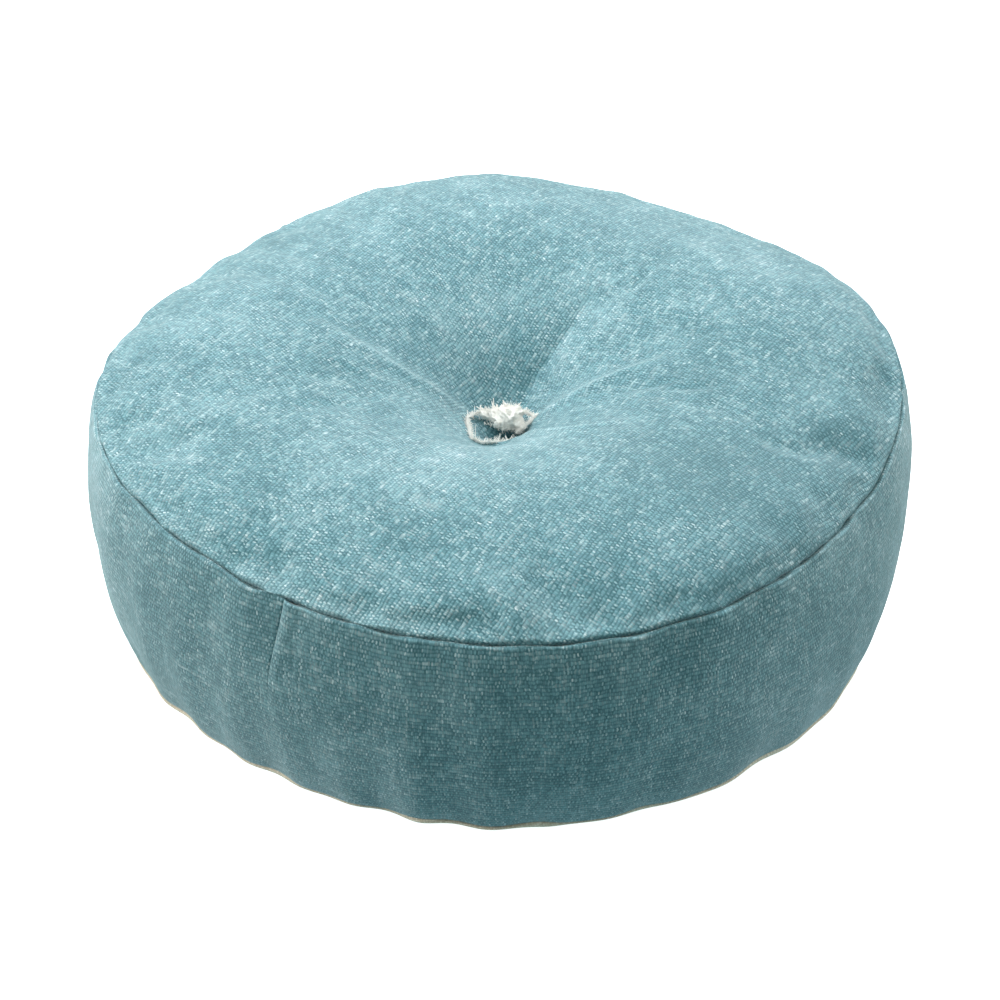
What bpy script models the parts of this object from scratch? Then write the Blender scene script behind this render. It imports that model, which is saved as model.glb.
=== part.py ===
"""Round box cushion with one central tuft: canvas cover with a zipped band, calico inner case, fibre and foam filling.

Metres, +Z up. The origin is on the floor under the centre of the cushion. The front of the cushion faces -Y.
"""

import math

import bmesh
import bpy
from mathutils import Matrix, Vector

MM = 0.001

# Overall form
FACETS = 40                 # facets of every turned piece, all in phase so that nested shells keep their gap
SEAM_TOP_R = 213.4 * MM     # radius of the seam between the top panel and the band
SEAM_TOP_Z = 119.6 * MM
SEAM_LOW_R = 214.6 * MM     # radius of the seam between the band and the bottom panel
SEAM_LOW_Z = 4.4 * MM
BAND_BULGE = 10.6 * MM      # how far the filled band stands out past its seams
CANVAS = 1.0 * MM           # thickness of the cover cloth
CALICO = 0.6 * MM           # thickness of the inner case cloth
TUFT_Z = 89.0 * MM          # height of the bottom of the tufted dimple
TUFT_LOW_Z = 20.0 * MM      # height of the top of the small dimple underneath
HOLE_R = 3.4 * MM           # hole that the tufting twine passes through

# Where the band is joined, in degrees anticlockwise from +X
JOIN_FRONT = 241.0          # the visible join, left of the front
ZIP_START = 40.0            # closed end of the zip
ZIP_END = 140.0             # open end of the zip
JOIN_GAP = 0.12             # degrees between the ends of two joined strips

# Zip
ZIP_Z = 62.0 * MM           # height of the zip's centre line
ZIP_WINDOW = 10.0 * MM      # height of the opening between the two strips of band
TAPE_WIDTH = 13.0 * MM
TAPE = 0.5 * MM
COIL_R = 0.95 * MM
COIL_OFFSET = 1.85 * MM     # from the centre line to the middle of each coil
ZIP_R = SEAM_TOP_R + BAND_BULGE + 0.6 * MM   # radius of the band's face at the zip
SLIDER_AT = 43.2            # where the closed slider rests, in degrees
SLIDER_LONG = 11.0 * MM
SLIDER_HIGH = 8.0 * MM


def clear_scene():
    for obj in list(bpy.data.objects):
        bpy.data.objects.remove(obj, do_unlink=True)


clear_scene()
PARTS = bpy.data.collections.new("round_tufted_cushion")
CUTTERS = bpy.data.collections.new("cutters")
bpy.context.scene.collection.children.link(PARTS)
bpy.context.scene.collection.children.link(CUTTERS)
CUTTERS.hide_render = True


def material(name, colour, roughness, metallic=0.0):
    made = bpy.data.materials.get(name)
    if made is None:
        made = bpy.data.materials.new(name)
        made.use_nodes = True
        shader = made.node_tree.nodes["Principled BSDF"]
        shader.inputs["Base Color"].default_value = (*colour, 1.0)
        shader.inputs["Roughness"].default_value = roughness
        shader.inputs["Metallic"].default_value = metallic
        made.diffuse_color = (*colour, 1.0)
    return made


TEAL = ("teal_canvas", (0.24, 0.42, 0.47), 0.92)
ECRU = ("ecru_canvas", (0.68, 0.61, 0.49), 0.92)
CALICO_MAT = ("calico", (0.78, 0.73, 0.63), 0.9)
FIBRE = ("fibre_wadding", (0.86, 0.85, 0.82), 0.95)
FOAM = ("foam", (0.83, 0.79, 0.66), 0.9)
COTTON = ("cotton_tuft", (0.80, 0.79, 0.75), 0.95)
THREAD = ("teal_thread", (0.16, 0.30, 0.34), 0.7)
TAPE_MAT = ("zip_tape", (0.18, 0.34, 0.38), 0.85)
NYLON = ("zip_coil", (0.20, 0.37, 0.41), 0.45)
METAL = ("zip_metal", (0.55, 0.54, 0.52), 0.35, 0.9)


def finish(obj, look, smooth=True):
    obj.data.materials.append(material(*look))
    for collection in list(obj.users_collection):
        collection.objects.unlink(obj)
    PARTS.objects.link(obj)
    if smooth and obj.type == "MESH":
        obj.data.shade_smooth()
        obj.data.set_sharp_from_angle(angle=math.radians(40))
    return obj


def profile_object(name, points, closed=False):
    """An edge profile in the XZ plane at +X: points are (radius, height)."""
    mesh = bpy.data.meshes.new(name)
    edges = [(i, i + 1) for i in range(len(points) - 1)]
    if closed:
        edges.append((len(points) - 1, 0))
    mesh.from_pydata([(r, 0.0, z) for r, z in points], edges, [])
    obj = bpy.data.objects.new(name, mesh)
    bpy.context.scene.collection.objects.link(obj)
    return obj


def turned(name, points, look, thick=None, start=0.0, sweep=360.0, steps=FACETS):
    """A profile turned about Z. With thick it is an open shell, grown inwards from its outer face."""
    obj = profile_object(name, points, closed=thick is None)
    obj.rotation_euler[2] = math.radians(start)
    screw = obj.modifiers.new("turn", "SCREW")
    screw.angle = math.radians(sweep)
    screw.steps = screw.render_steps = steps
    screw.use_merge_vertices = sweep >= 360.0
    screw.merge_threshold = 0.00005
    screw.use_normal_calculate = False
    if thick is not None:
        shell = obj.modifiers.new("cloth", "SOLIDIFY")
        shell.thickness = thick
        shell.offset = -1.0
        shell.use_even_offset = True
    return finish(obj, look)


def tube(name, points, radius, look, sides=4, closed=False):
    curve = bpy.data.curves.new(name, "CURVE")
    curve.dimensions = "3D"
    curve.bevel_depth = radius
    curve.bevel_resolution = max(0, sides // 2 - 2)
    curve.use_fill_caps = True
    curve.resolution_u = 1
    spline = curve.splines.new("POLY")
    spline.points.add(len(points) - 1)
    for place, point in zip(spline.points, points):
        place.co = (*point, 1.0)
    spline.use_cyclic_u = closed
    obj = bpy.data.objects.new(name, curve)
    bpy.context.scene.collection.objects.link(obj)
    return finish(obj, look)


def polar(radius, degrees, z):
    a = math.radians(degrees)
    return Vector((radius * math.cos(a), radius * math.sin(a), z))


def ring(radius, z, start=0.0, sweep=360.0, count=FACETS):
    whole = sweep >= 360.0
    last = count if whole else count + 1
    return [polar(radius, start + sweep * i / count, z) for i in range(last)]


# ---------------------------------------------------------------- profiles

def band_radius(z):
    """Radius of the band's outer face at height z."""
    t = (z - SEAM_LOW_Z) / (SEAM_TOP_Z - SEAM_LOW_Z)
    return SEAM_LOW_R + (SEAM_TOP_R - SEAM_LOW_R) * t + BAND_BULGE * 4.0 * t * (1.0 - t)


def band_profile(high, low, inset=0.0, count=6):
    """Points down the band from height high to height low, inset from its outer face."""
    out = []
    for i in range(count):
        z = high + (low - high) * i / (count - 1)
        out.append((band_radius(z) - inset, z))
    return out


def crown(radius):
    """Height of the top panel's outer face, from the tufted dimple over the crown to the seam."""
    control = [
        (0.0, 89.0), (14.0, 90.0), (30.0, 103.0), (48.0, 117.5), (72.0, 129.0), (100.0, 136.0),
        (130.0, 139.0), (160.0, 137.0), (188.0, 130.5), (204.0, 124.6), (211.6, 120.9),
    ]
    r = radius / MM
    for (r0, z0), (r1, z1) in zip(control, control[1:]):
        if r <= r1:
            return (z0 + (z1 - z0) * (r - r0) / (r1 - r0)) * MM
    return control[-1][1] * MM


def belly(radius):
    """Height of the bottom panel's outer face, flat on the floor but for the small dimple in the middle."""
    control = [(0.0, 20.0), (12.0, 19.0), (36.0, 7.0), (62.0, 0.0), (198.0, 0.0), (207.0, 0.9), (213.0, 3.2)]
    r = radius / MM
    for (r0, z0), (r1, z1) in zip(control, control[1:]):
        if r <= r1:
            return (z0 + (z1 - z0) * (r - r0) / (r1 - r0)) * MM
    return control[-1][1] * MM


CROWN_RADII = (3.4, 14.0, 30.0, 48.0, 72.0, 100.0, 130.0, 160.0, 188.0, 204.0, 211.6)

# ---------------------------------------------------------------- cover

top = [(r * MM, crown(r * MM)) for r in CROWN_RADII]
top += [(210.8 * MM, 116.6 * MM), (210.4 * MM, 108.5 * MM)]
turned("top_panel", top, TEAL, CANVAS)

bottom = [(210.8 * MM, 16.0 * MM), (211.2 * MM, 7.2 * MM), (213.0 * MM, 3.4 * MM)]
bottom += [(r * MM, belly(r * MM)) for r in (207.0, 198.0, 62.0, 36.0, 12.0, 3.4)]
turned("bottom_panel", bottom, ECRU, CANVAS)

FACET = 360.0 / FACETS
band_line = band_profile(SEAM_TOP_Z - 0.8 * MM, SEAM_LOW_Z + 0.8 * MM, count=7)
right_start, right_end = JOIN_FRONT + JOIN_GAP - 360.0, ZIP_START - JOIN_GAP
turned("band_right", band_line, TEAL, CANVAS, right_start, right_end - right_start, 24)
left_start, left_end = ZIP_END + JOIN_GAP, JOIN_FRONT - JOIN_GAP
turned("band_left", band_line, TEAL, CANVAS, left_start, left_end - left_start, 14)

zip_sweep = ZIP_END - ZIP_START
upper_line = band_profile(SEAM_TOP_Z - 0.8 * MM, ZIP_Z + ZIP_WINDOW / 2, count=4)
lower_line = band_profile(ZIP_Z - ZIP_WINDOW / 2, SEAM_LOW_Z + 0.8 * MM, count=4)
turned("zip_band_upper", upper_line, TEAL, CANVAS, ZIP_START, zip_sweep, 16)
turned("zip_band_lower", lower_line, TEAL, CANVAS, ZIP_START, zip_sweep, 16)

# ---------------------------------------------------------------- zip

tape_start, tape_sweep = ZIP_START + 0.4, zip_sweep - 0.8
TAPE_R = ZIP_R - 2.0 * MM
edge = COIL_OFFSET + COIL_R + 0.3 * MM
turned(
    "zip_tape_upper",
    [(TAPE_R - 0.5 * MM, ZIP_Z + TAPE_WIDTH), (TAPE_R, ZIP_Z + edge)],
    TAPE_MAT, TAPE, tape_start, tape_sweep, 25,
)
turned(
    "zip_tape_lower",
    [(TAPE_R, ZIP_Z - edge), (TAPE_R - 0.5 * MM, ZIP_Z - TAPE_WIDTH)],
    TAPE_MAT, TAPE, tape_start, tape_sweep, 25,
)
COIL_RING = TAPE_R - 0.25 * MM
coil_start, coil_sweep = ZIP_START + 1.6, zip_sweep - 3.2
tube("zip_coil_upper", ring(COIL_RING, ZIP_Z + COIL_OFFSET, coil_start, coil_sweep, 25), COIL_R, NYLON, 4)
tube("zip_coil_lower", ring(COIL_RING, ZIP_Z - COIL_OFFSET, coil_start, coil_sweep, 25), COIL_R, NYLON, 4)


def block(name, size, centre, collection=None):
    """A box with its sides along X (tangent), Y (outwards) and Z, centred in the slider's own frame."""
    mesh = bpy.data.meshes.new(name)
    shape = bmesh.new()
    bmesh.ops.create_cube(shape, size=1.0)
    bmesh.ops.scale(shape, vec=Vector(size), verts=shape.verts)
    bmesh.ops.translate(shape, vec=Vector(centre), verts=shape.verts)
    shape.to_mesh(mesh)
    shape.free()
    obj = bpy.data.objects.new(name, mesh)
    (collection or bpy.context.scene.collection).objects.link(obj)
    if collection is CUTTERS:
        obj.hide_render = True
        obj.display_type = "WIRE"
    return obj


def boolean(obj, other, operation):
    step = obj.modifiers.new(operation.lower(), "BOOLEAN")
    step.operation = operation
    step.object = other
    step.solver = "EXACT"


def at_zip(degrees):
    """Frame of a piece on the zip: X runs along the zip towards its open end, Y points outwards."""
    a = math.radians(degrees)
    along = Vector((-math.sin(a), math.cos(a), 0.0))
    out = Vector((math.cos(a), math.sin(a), 0.0))
    place = Matrix((
        (along.x, out.x, 0.0, 0.0),
        (along.y, out.y, 0.0, 0.0),
        (0.0, 0.0, -1.0, ZIP_Z),
        (0.0, 0.0, 0.0, 1.0),
    ))
    return place


for label, at in (("zip_stop_closed_end", ZIP_START + 1.0), ("zip_stop_open_end", ZIP_END - 1.0)):
    stop_piece = block(label, (1.6 * MM, 2.6 * MM, 5.6 * MM), (0.0, COIL_RING, 0.0))
    stop_piece.matrix_world = at_zip(at)
    finish(stop_piece, METAL, smooth=False)

PLATE_OUT = ZIP_R - 0.6 * MM    # inner face of the slider's outer plate
PLATE_IN = ZIP_R - 3.9 * MM     # outer face of the slider's inner plate
slider = block("zip_slider", (SLIDER_LONG, 1.1 * MM, SLIDER_HIGH), (0.0, PLATE_OUT + 0.55 * MM, 0.0))
parts_of_slider = [
    block("slider_inner_plate", (SLIDER_LONG, 1.0 * MM, SLIDER_HIGH), (0.0, PLATE_IN - 0.5 * MM, 0.0), CUTTERS),
    block("slider_wedge", (2.4 * MM, 4.6 * MM, 1.1 * MM), (-3.9 * MM, (PLATE_OUT + PLATE_IN) / 2, 0.0), CUTTERS),
    block("slider_arch", (6.2 * MM, 4.0 * MM, 2.4 * MM), (0.0, PLATE_OUT + 0.9 * MM + 2.0 * MM, 0.0), CUTTERS),
]
PIN_Y = PLATE_OUT + 1.1 * MM + 1.1 * MM      # the pull's pin, above the outer plate
arch_hole = block("slider_arch_hole", (4.2 * MM, 2.4 * MM, 4.0 * MM), (0.0, PLATE_OUT + 1.1 * MM + 1.2 * MM, 0.0), CUTTERS)
for piece in parts_of_slider:
    boolean(slider, piece, "UNION")
boolean(slider, arch_hole, "DIFFERENCE")
for piece in [slider, *parts_of_slider, arch_hole]:
    piece.matrix_world = at_zip(SLIDER_AT)
finish(slider, METAL, smooth=False)

PULL_LONG = 23.0 * MM
pull = block("zip_pull", (PULL_LONG, 1.2 * MM, 5.6 * MM), (PULL_LONG / 2 - 0.6 * MM, PIN_Y, 0.0))
window = block("pull_window", (3.8 * MM, 3.0 * MM, 3.2 * MM), (0.6 * MM + 1.9 * MM, PIN_Y, 0.0), CUTTERS)
grip = block("pull_grip_hole", (3.0 * MM, 3.0 * MM, 2.4 * MM), (18.6 * MM, PIN_Y, 0.0), CUTTERS)
boolean(pull, window, "DIFFERENCE")
boolean(pull, grip, "DIFFERENCE")
for piece in (pull, window, grip):
    piece.matrix_world = at_zip(SLIDER_AT)
finish(pull, METAL, smooth=False)

# ---------------------------------------------------------------- inner case

CASE_GAP = 10.0 * MM         # from the cover's outer face to the case's outer face, on top and underneath
LOW_GAP = 3.2 * MM          # the same at the dimple underneath
BAND_GAP = 6.4 * MM         # and at the band, where the slider needs room behind the zip


def inset(points, gap):
    """The profile moved inwards by gap, along the average normal of its two sides."""
    out = []
    for i, (r, z) in enumerate(points):
        r0, z0 = points[max(i - 1, 0)]
        r1, z1 = points[min(i + 1, len(points) - 1)]
        along = Vector((r1 - r0, z1 - z0)).normalized()
        out.append((r + along.y * gap, z - along.x * gap))
    return out


case_radii = (14.0, 48.0, 100.0, 160.0, 188.0)
case_top = [(HOLE_R, crown(HOLE_R) - CASE_GAP)]
case_top += inset([(r * MM, crown(r * MM)) for r in case_radii], CASE_GAP)
case_top += [(200.0 * MM, 112.4 * MM), (205.4 * MM, 105.6 * MM)]
turned("inner_case_top", case_top, CALICO_MAT, CALICO)

case_side = [(205.6 * MM, 104.8 * MM)]
case_side += band_profile(84.0 * MM, 34.0 * MM, BAND_GAP, 2)
case_side += [(206.2 * MM, 12.8 * MM)]
turned("inner_case_band", case_side, CALICO_MAT, CALICO)

case_low = [(206.0 * MM, 12.0 * MM), (201.0 * MM, 5.2 * MM), (194.0 * MM, 3.0 * MM), (66.0 * MM, 3.0 * MM)]
case_low += [(36.0 * MM, belly(36.0 * MM) + LOW_GAP + 0.4 * MM), (12.0 * MM, belly(12.0 * MM) + LOW_GAP)]
case_low += [(HOLE_R, belly(HOLE_R) + LOW_GAP)]
turned("inner_case_bottom", case_low, CALICO_MAT, CALICO)

# ---------------------------------------------------------------- filling

FILL_GAP = CASE_GAP + CALICO + 0.5 * MM
wrap_out = inset([(r * MM, crown(r * MM)) for r in (14.0, 48.0, 100.0, 160.0, 186.0)], FILL_GAP)
wrap_top = [(HOLE_R, crown(HOLE_R) - FILL_GAP)] + wrap_out + [(195.0 * MM, 110.8 * MM), (201.6 * MM, 104.0 * MM)]
wrap_under = [(188.0 * MM, 96.0 * MM), (130.0 * MM, 109.0 * MM), (86.0 * MM, 103.6 * MM), (40.0 * MM, 81.6 * MM), (HOLE_R, 67.8 * MM)]
turned("wadding_top", wrap_top + wrap_under, FIBRE)

side_out = [(202.4 * MM, 103.0 * MM)] + band_profile(82.0 * MM, 36.0 * MM, BAND_GAP + CALICO + 0.6 * MM, 2) + [(203.8 * MM, 14.6 * MM)]
side_in = [(191.0 * MM, 16.2 * MM), (191.0 * MM, 94.6 * MM)]
turned("wadding_side", side_out + side_in, FIBRE)

low_top = [(HOLE_R, 36.0 * MM), (40.0 * MM, 24.0 * MM), (90.0 * MM, 15.4 * MM), (190.4 * MM, 15.0 * MM), (202.4 * MM, 12.8 * MM)]
low_under = [(198.6 * MM, 6.4 * MM), (192.0 * MM, 4.4 * MM), (68.0 * MM, 4.4 * MM), (37.0 * MM, 12.4 * MM), (13.0 * MM, 24.4 * MM), (HOLE_R, 25.4 * MM)]
turned("wadding_bottom", low_top + low_under, FIBRE)

core = [
    (HOLE_R, 67.2 * MM), (40.0 * MM, 81.0 * MM), (86.0 * MM, 103.0 * MM), (130.0 * MM, 108.2 * MM), (187.0 * MM, 95.4 * MM),
    (190.2 * MM, 93.0 * MM), (190.2 * MM, 15.8 * MM), (90.0 * MM, 16.2 * MM), (41.0 * MM, 25.0 * MM), (HOLE_R, 37.0 * MM),
]
turned("foam_core", core, FOAM)

# ---------------------------------------------------------------- tuft

PUFF_Z = TUFT_Z + 7.6 * MM


def lumpy(name, centre, size, waist, look, rings=8, sides=12):
    """A bundle lying along X that is pinched to a waist in the middle, where the twine holds it."""
    mesh = bpy.data.meshes.new(name)
    shape = bmesh.new()
    bmesh.ops.create_uvsphere(shape, u_segments=sides, v_segments=rings * 2, radius=1.0,
                              matrix=Matrix.Rotation(math.radians(90), 4, "Y"))
    for vert in shape.verts:
        x, y, z = vert.co
        pinch = waist + (1.0 - waist) * min(1.0, abs(x) / 0.45) ** 1.5
        lump = 1.0 + 0.07 * math.sin(5.0 * x + 2.0 * y + 1.0) + 0.05 * math.sin(7.0 * y - 4.0 * z)
        vert.co = Vector((x * size[0] * lump, y * size[1] * pinch * lump, z * size[2] * pinch * lump))
    bmesh.ops.translate(shape, vec=Vector(centre), verts=shape.verts)
    shape.to_mesh(mesh)
    shape.free()
    obj = bpy.data.objects.new(name, mesh)
    bpy.context.scene.collection.objects.link(obj)
    return finish(obj, look)


lumpy("tuft_puff_top", (0.0, 0.0, PUFF_Z), (12.5 * MM, 9.0 * MM, 5.0 * MM), 0.5, COTTON)

KNOT_Z = 11.5 * MM
turned(
    "tuft_pad_bottom",
    [(HOLE_R, 18.2 * MM), (11.0 * MM, 17.6 * MM), (12.5 * MM, 16.4 * MM), (11.0 * MM, 15.4 * MM), (HOLE_R, 15.6 * MM)],
    COTTON, steps=24,
)
knot_mesh = bpy.data.meshes.new("tuft_knot")
knot_shape = bmesh.new()
bmesh.ops.create_uvsphere(knot_shape, u_segments=12, v_segments=8, radius=1.0)
for vert in knot_shape.verts:
    vert.co = Vector((vert.co.x * 5.2 * MM, vert.co.y * 4.4 * MM, vert.co.z * 2.8 * MM + KNOT_Z))
knot_shape.to_mesh(knot_mesh)
knot_shape.free()
knot = bpy.data.objects.new("tuft_knot", knot_mesh)
bpy.context.scene.collection.objects.link(knot)
finish(knot, COTTON)

TWINE_R = 0.8 * MM
LOOP_R = 6.4 * MM
strand = (KNOT_Z / MM + 3.7, 30.0, 50.0, 70.0, 88.8)
twine_points = [Vector((0.0, -1.7 * MM, z * MM)) for z in strand]
for i in range(13):
    a = math.radians(-34.0 + 248.0 * i / 12)
    twine_points.append(Vector((0.0, -LOOP_R * math.cos(a), PUFF_Z + 0.92 * LOOP_R * math.sin(a))))
twine_points += [Vector((0.0, 1.7 * MM, z * MM)) for z in reversed(strand)]
tube("tuft_twine", twine_points, TWINE_R, COTTON, 4)

# ---------------------------------------------------------------- threads

tube("top_seam_thread", ring(SEAM_TOP_R, SEAM_TOP_Z + 0.9 * MM), 0.4 * MM, THREAD, 4, closed=True)
tube("bottom_seam_thread", ring(SEAM_LOW_R + 0.1 * MM, SEAM_LOW_Z - 0.6 * MM), 0.4 * MM, THREAD, 4, closed=True)


def upright_thread(name, degrees, lift=0.65 * MM, high=SEAM_TOP_Z - 3.0 * MM, low=SEAM_LOW_Z + 3.0 * MM, count=7):
    points = []
    for i in range(count):
        z = high + (low - high) * i / (count - 1)
        points.append(polar(band_radius(z) + lift, degrees, z))
    return tube(name, points, 0.3 * MM, THREAD, 4)


upright_thread("band_join_thread", JOIN_FRONT)
upright_thread("zip_join_thread_closed_end", ZIP_START)
upright_thread("zip_join_thread_open_end", ZIP_END)
STITCH_R = ZIP_R + 0.7 * MM
tube("zip_stitch_upper", ring(STITCH_R, ZIP_Z + ZIP_WINDOW / 2 + 2.4 * MM, ZIP_START + 0.8, zip_sweep - 1.6, 20), 0.35 * MM, THREAD, 4)
tube("zip_stitch_lower", ring(STITCH_R, ZIP_Z - ZIP_WINDOW / 2 - 2.4 * MM, ZIP_START + 0.8, zip_sweep - 1.6, 20), 0.35 * MM, THREAD, 4)
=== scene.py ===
"""Looks of the round tufted seat cushion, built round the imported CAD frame. Metres, +Z up."""
import math

import bmesh
import bpy
import numpy as np
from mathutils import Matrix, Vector, noise as mnoise


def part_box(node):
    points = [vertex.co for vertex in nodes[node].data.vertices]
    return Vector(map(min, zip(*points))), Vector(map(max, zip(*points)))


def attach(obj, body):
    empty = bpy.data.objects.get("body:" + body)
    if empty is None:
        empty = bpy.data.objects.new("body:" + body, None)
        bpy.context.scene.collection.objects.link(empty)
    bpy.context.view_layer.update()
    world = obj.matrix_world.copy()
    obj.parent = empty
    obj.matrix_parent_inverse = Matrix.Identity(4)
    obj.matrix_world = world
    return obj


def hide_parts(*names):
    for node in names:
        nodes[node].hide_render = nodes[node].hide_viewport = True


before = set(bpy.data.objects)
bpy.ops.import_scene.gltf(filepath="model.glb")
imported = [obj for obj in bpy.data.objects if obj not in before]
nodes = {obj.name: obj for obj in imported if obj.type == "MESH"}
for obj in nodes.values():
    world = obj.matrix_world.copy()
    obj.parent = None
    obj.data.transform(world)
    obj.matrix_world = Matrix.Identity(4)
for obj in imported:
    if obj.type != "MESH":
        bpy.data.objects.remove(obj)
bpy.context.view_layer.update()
MM = 0.001
TAU = 2.0 * math.pi
rng = np.random.default_rng(20)

# ------------------------------------------------------------------ sizes read from the frame
_, seam_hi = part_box("top_seam_thread")
SEAM_R = float(seam_hi[0]) - 0.4 * MM
SEAM_Z = float(seam_hi[2]) - 0.4 * MM - 0.9 * MM
_, low_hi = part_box("bottom_seam_thread")
LOW_R = float(low_hi[0]) - 0.4 * MM
LOW_Z = float(low_hi[2]) - 0.4 * MM + 0.6 * MM
LOW_Z = LOW_Z - 1.6 * MM
BULGE = 11.4 * MM
CAD_BULGE = 10.6 * MM
CAD_LOW_Z = LOW_Z + 1.6 * MM
ZIP_Z = 62.0 * MM
ZIP_R = SEAM_R + CAD_BULGE + 0.6 * MM
JOIN = math.radians(241.0)
ZIP_A, ZIP_B = math.radians(40.0), math.radians(140.0)
HALF_WINDOW = 5.0 * MM


def smooth(t):
    t = np.clip(t, 0.0, 1.0)
    return t * t * (3.0 - 2.0 * t)


def waves(angle, lowest, highest, seed, fall=0.6):
    """A smooth random function of an angle, about 1 in size."""
    made = np.random.default_rng(seed)
    total = np.zeros_like(angle)
    norm = 0.0
    for k in range(lowest, highest + 1):
        size = (k / lowest) ** -fall
        total += size * np.cos(k * angle + made.uniform(0, TAU)) * made.uniform(0.5, 1.0)
        norm += size * size * 0.3
    return total / math.sqrt(norm + 1e-9)


def noise2(x, y, scale, seed, octaves=3, gain=0.5):
    """Smooth value noise over a plane, about -1 to 1."""
    total = np.zeros_like(x)
    size, norm = 1.0, 0.0
    for o in range(octaves):
        table = np.random.default_rng(seed + o).uniform(-1, 1, (128, 128))
        u, v = x / scale * 2 ** o, y / scale * 2 ** o
        i, j = np.floor(u).astype(int), np.floor(v).astype(int)
        fu, fv = smooth(u - i), smooth(v - j)
        a = table[i % 128, j % 128] * (1 - fu) + table[(i + 1) % 128, j % 128] * fu
        b = table[i % 128, (j + 1) % 128] * (1 - fu) + table[(i + 1) % 128, (j + 1) % 128] * fu
        total += size * (a * (1 - fv) + b * fv)
        norm += size
        size *= gain
    return total / norm


# ------------------------------------------------------------------ the cushion's form
# How the stuffed cover sits out of round, as (waves round the rim, cosine mm, sine mm)
SEAM_WAVES_R = [(1, 0.3, 0.0), (2, -1.5, 0.2), (3, -0.7, -0.6), (4, 1.1, 2.3), (5, 0.5, -1.4), (6, 2.8, 0.0)]
SEAM_WAVES_Z = [(1, 0.1, 0.5), (2, 1.0, 2.4), (3, 0.3, 1.1), (4, 2.2, 2.7), (5, 0.0, 4.3)]
LOW_WAVES_R = [(1, -0.3, -0.7), (2, -2.6, -0.4), (3, -1.2, 1.3), (4, -4.2, 0.3), (5, 0.0, -2.6)]


def fourier(angle, terms):
    total = np.zeros_like(angle)
    for k, a, b in terms:
        total += a * np.cos(k * angle) + b * np.sin(k * angle)
    return total * MM


def seam_r(angle):
    return SEAM_R + fourier(angle, SEAM_WAVES_R) + 0.35 * MM * waves(angle, 16, 40, 5, 0.4)


def seam_z(angle):
    return SEAM_Z + fourier(angle, SEAM_WAVES_Z) + 0.3 * MM * waves(angle, 14, 36, 6, 0.4)


def low_r(angle):
    return LOW_R + fourier(angle, LOW_WAVES_R) + 0.6 * MM * waves(angle, 20, 44, 7, 0.2)


def low_z(angle):
    return LOW_Z - 1.5 * MM + 2.9 * MM * tack(angle)


def crease(d, deep, wide):
    """Depth of a narrow sewn-in crease at a distance d from its stitch line, with the rolled lip beside it."""
    return deep * np.exp(-d / wide) - 0.09 * deep * np.exp(-(((d - 3.4 * wide) / (2.4 * wide)) ** 2))


def scallop(angle):
    """Gathers of the lower seam, 0 at a tack and 1 at the top of a scallop."""
    phase = 19.0 * angle + 1.1 * waves(angle, 2, 7, 8, 0.3)
    return 0.5 + 0.5 * np.cos(phase)


def tack(angle):
    """1 where the band is drawn up at a tack of the lower seam, falling away to 0 on both sides."""
    return (1.0 - scallop(angle)) ** 3 * (0.65 + 0.35 * np.sin(3.0 * angle + 1.0) * np.cos(5.0 * angle))


CROWN = np.array([
    (0.0, 88.5), (6.0, 88.6), (14.0, 91.0), (22.0, 96.5), (32.0, 104.5), (45.0, 113.6), (60.0, 121.6), (78.0, 129.0),
    (100.0, 134.8), (125.0, 138.0), (150.0, 137.4), (172.0, 134.0), (190.0, 129.4), (203.0, 124.8), (211.0, 121.2), (213.4, 119.8),
])


def spline(table):
    """A monotone-ish smooth curve through a table, as a function (Catmull-Rom on uneven points)."""
    x, y = table[:, 0], table[:, 1]
    m = np.gradient(y, x)

    def at(q):
        q = np.clip(q, x[0], x[-1])
        i = np.clip(np.searchsorted(x, q) - 1, 0, len(x) - 2)
        h = x[i + 1] - x[i]
        t = (q - x[i]) / h
        return ((2 * t**3 - 3 * t**2 + 1) * y[i] + (t**3 - 2 * t**2 + t) * h * m[i]
                + (-2 * t**3 + 3 * t**2) * y[i + 1] + (t**3 - t**2) * h * m[i + 1])

    return at


crown_at = spline(CROWN)

# Folds of the dimple, as lines in plan (mm): points, height mm, half-width mm on the left and on the right of the line
FOLDS = [
    ([(-14, 2), (-28, 0), (-46, 1), (-58, 5), (-73, 12), (-85, 19), (-99, 31), (-115, 44)], 5.4, 15.0, 5.5),
    ([(8, 12), (16, 22), (24, 32), (36, 46), (48, 62), (60, 82)], -5.0, 9.0, 12.0),
    ([(24, 14), (40, 26), (58, 42), (76, 62)], 2.4, 10.0, 14.0),
    ([(14, -4), (28, -4.5), (41, -4.5), (55, -4.5), (66, -2.5), (84, 1), (100, 8)], 4.6, 5.0, 9.0),
    ([(8, -22), (13, -34), (22, -46), (34, -53), (48, -56), (66, -54), (82, -48)], 5.0, 2.6, 11.0),
    ([(40, -56), (26, -60), (10, -64), (-6, -67), (-20, -68), (-36, -66), (-54, -60)], 1.5, 16.0, 5.0),
    ([(8, -34), (16, -66), (26, -88), (38, -112)], 1.5, 6.0, 7.0),
    ([(-26, -13), (-42, -13), (-65, -11), (-81, -4), (-95, 3), (-112, 8)], 1.5, 7.0, 12.0),
    ([(-10, -20), (-24, -40), (-42, -62), (-62, -84)], 1.7, 14.0, 14.0),
    ([(-4, 20), (-10, 42), (-14, 66)], -1.2, 9.0, 9.0),
    ([(70, 60), (96, 44), (120, 22)], 1.2, 14.0, 10.0),
    ([(98, 118), (124, 84), (142, 44)], 1.5, 12.0, 9.0),
    ([(-150, 92), (-166, 58), (-176, 20)], 1.0, 8.0, 6.0),
]


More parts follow.
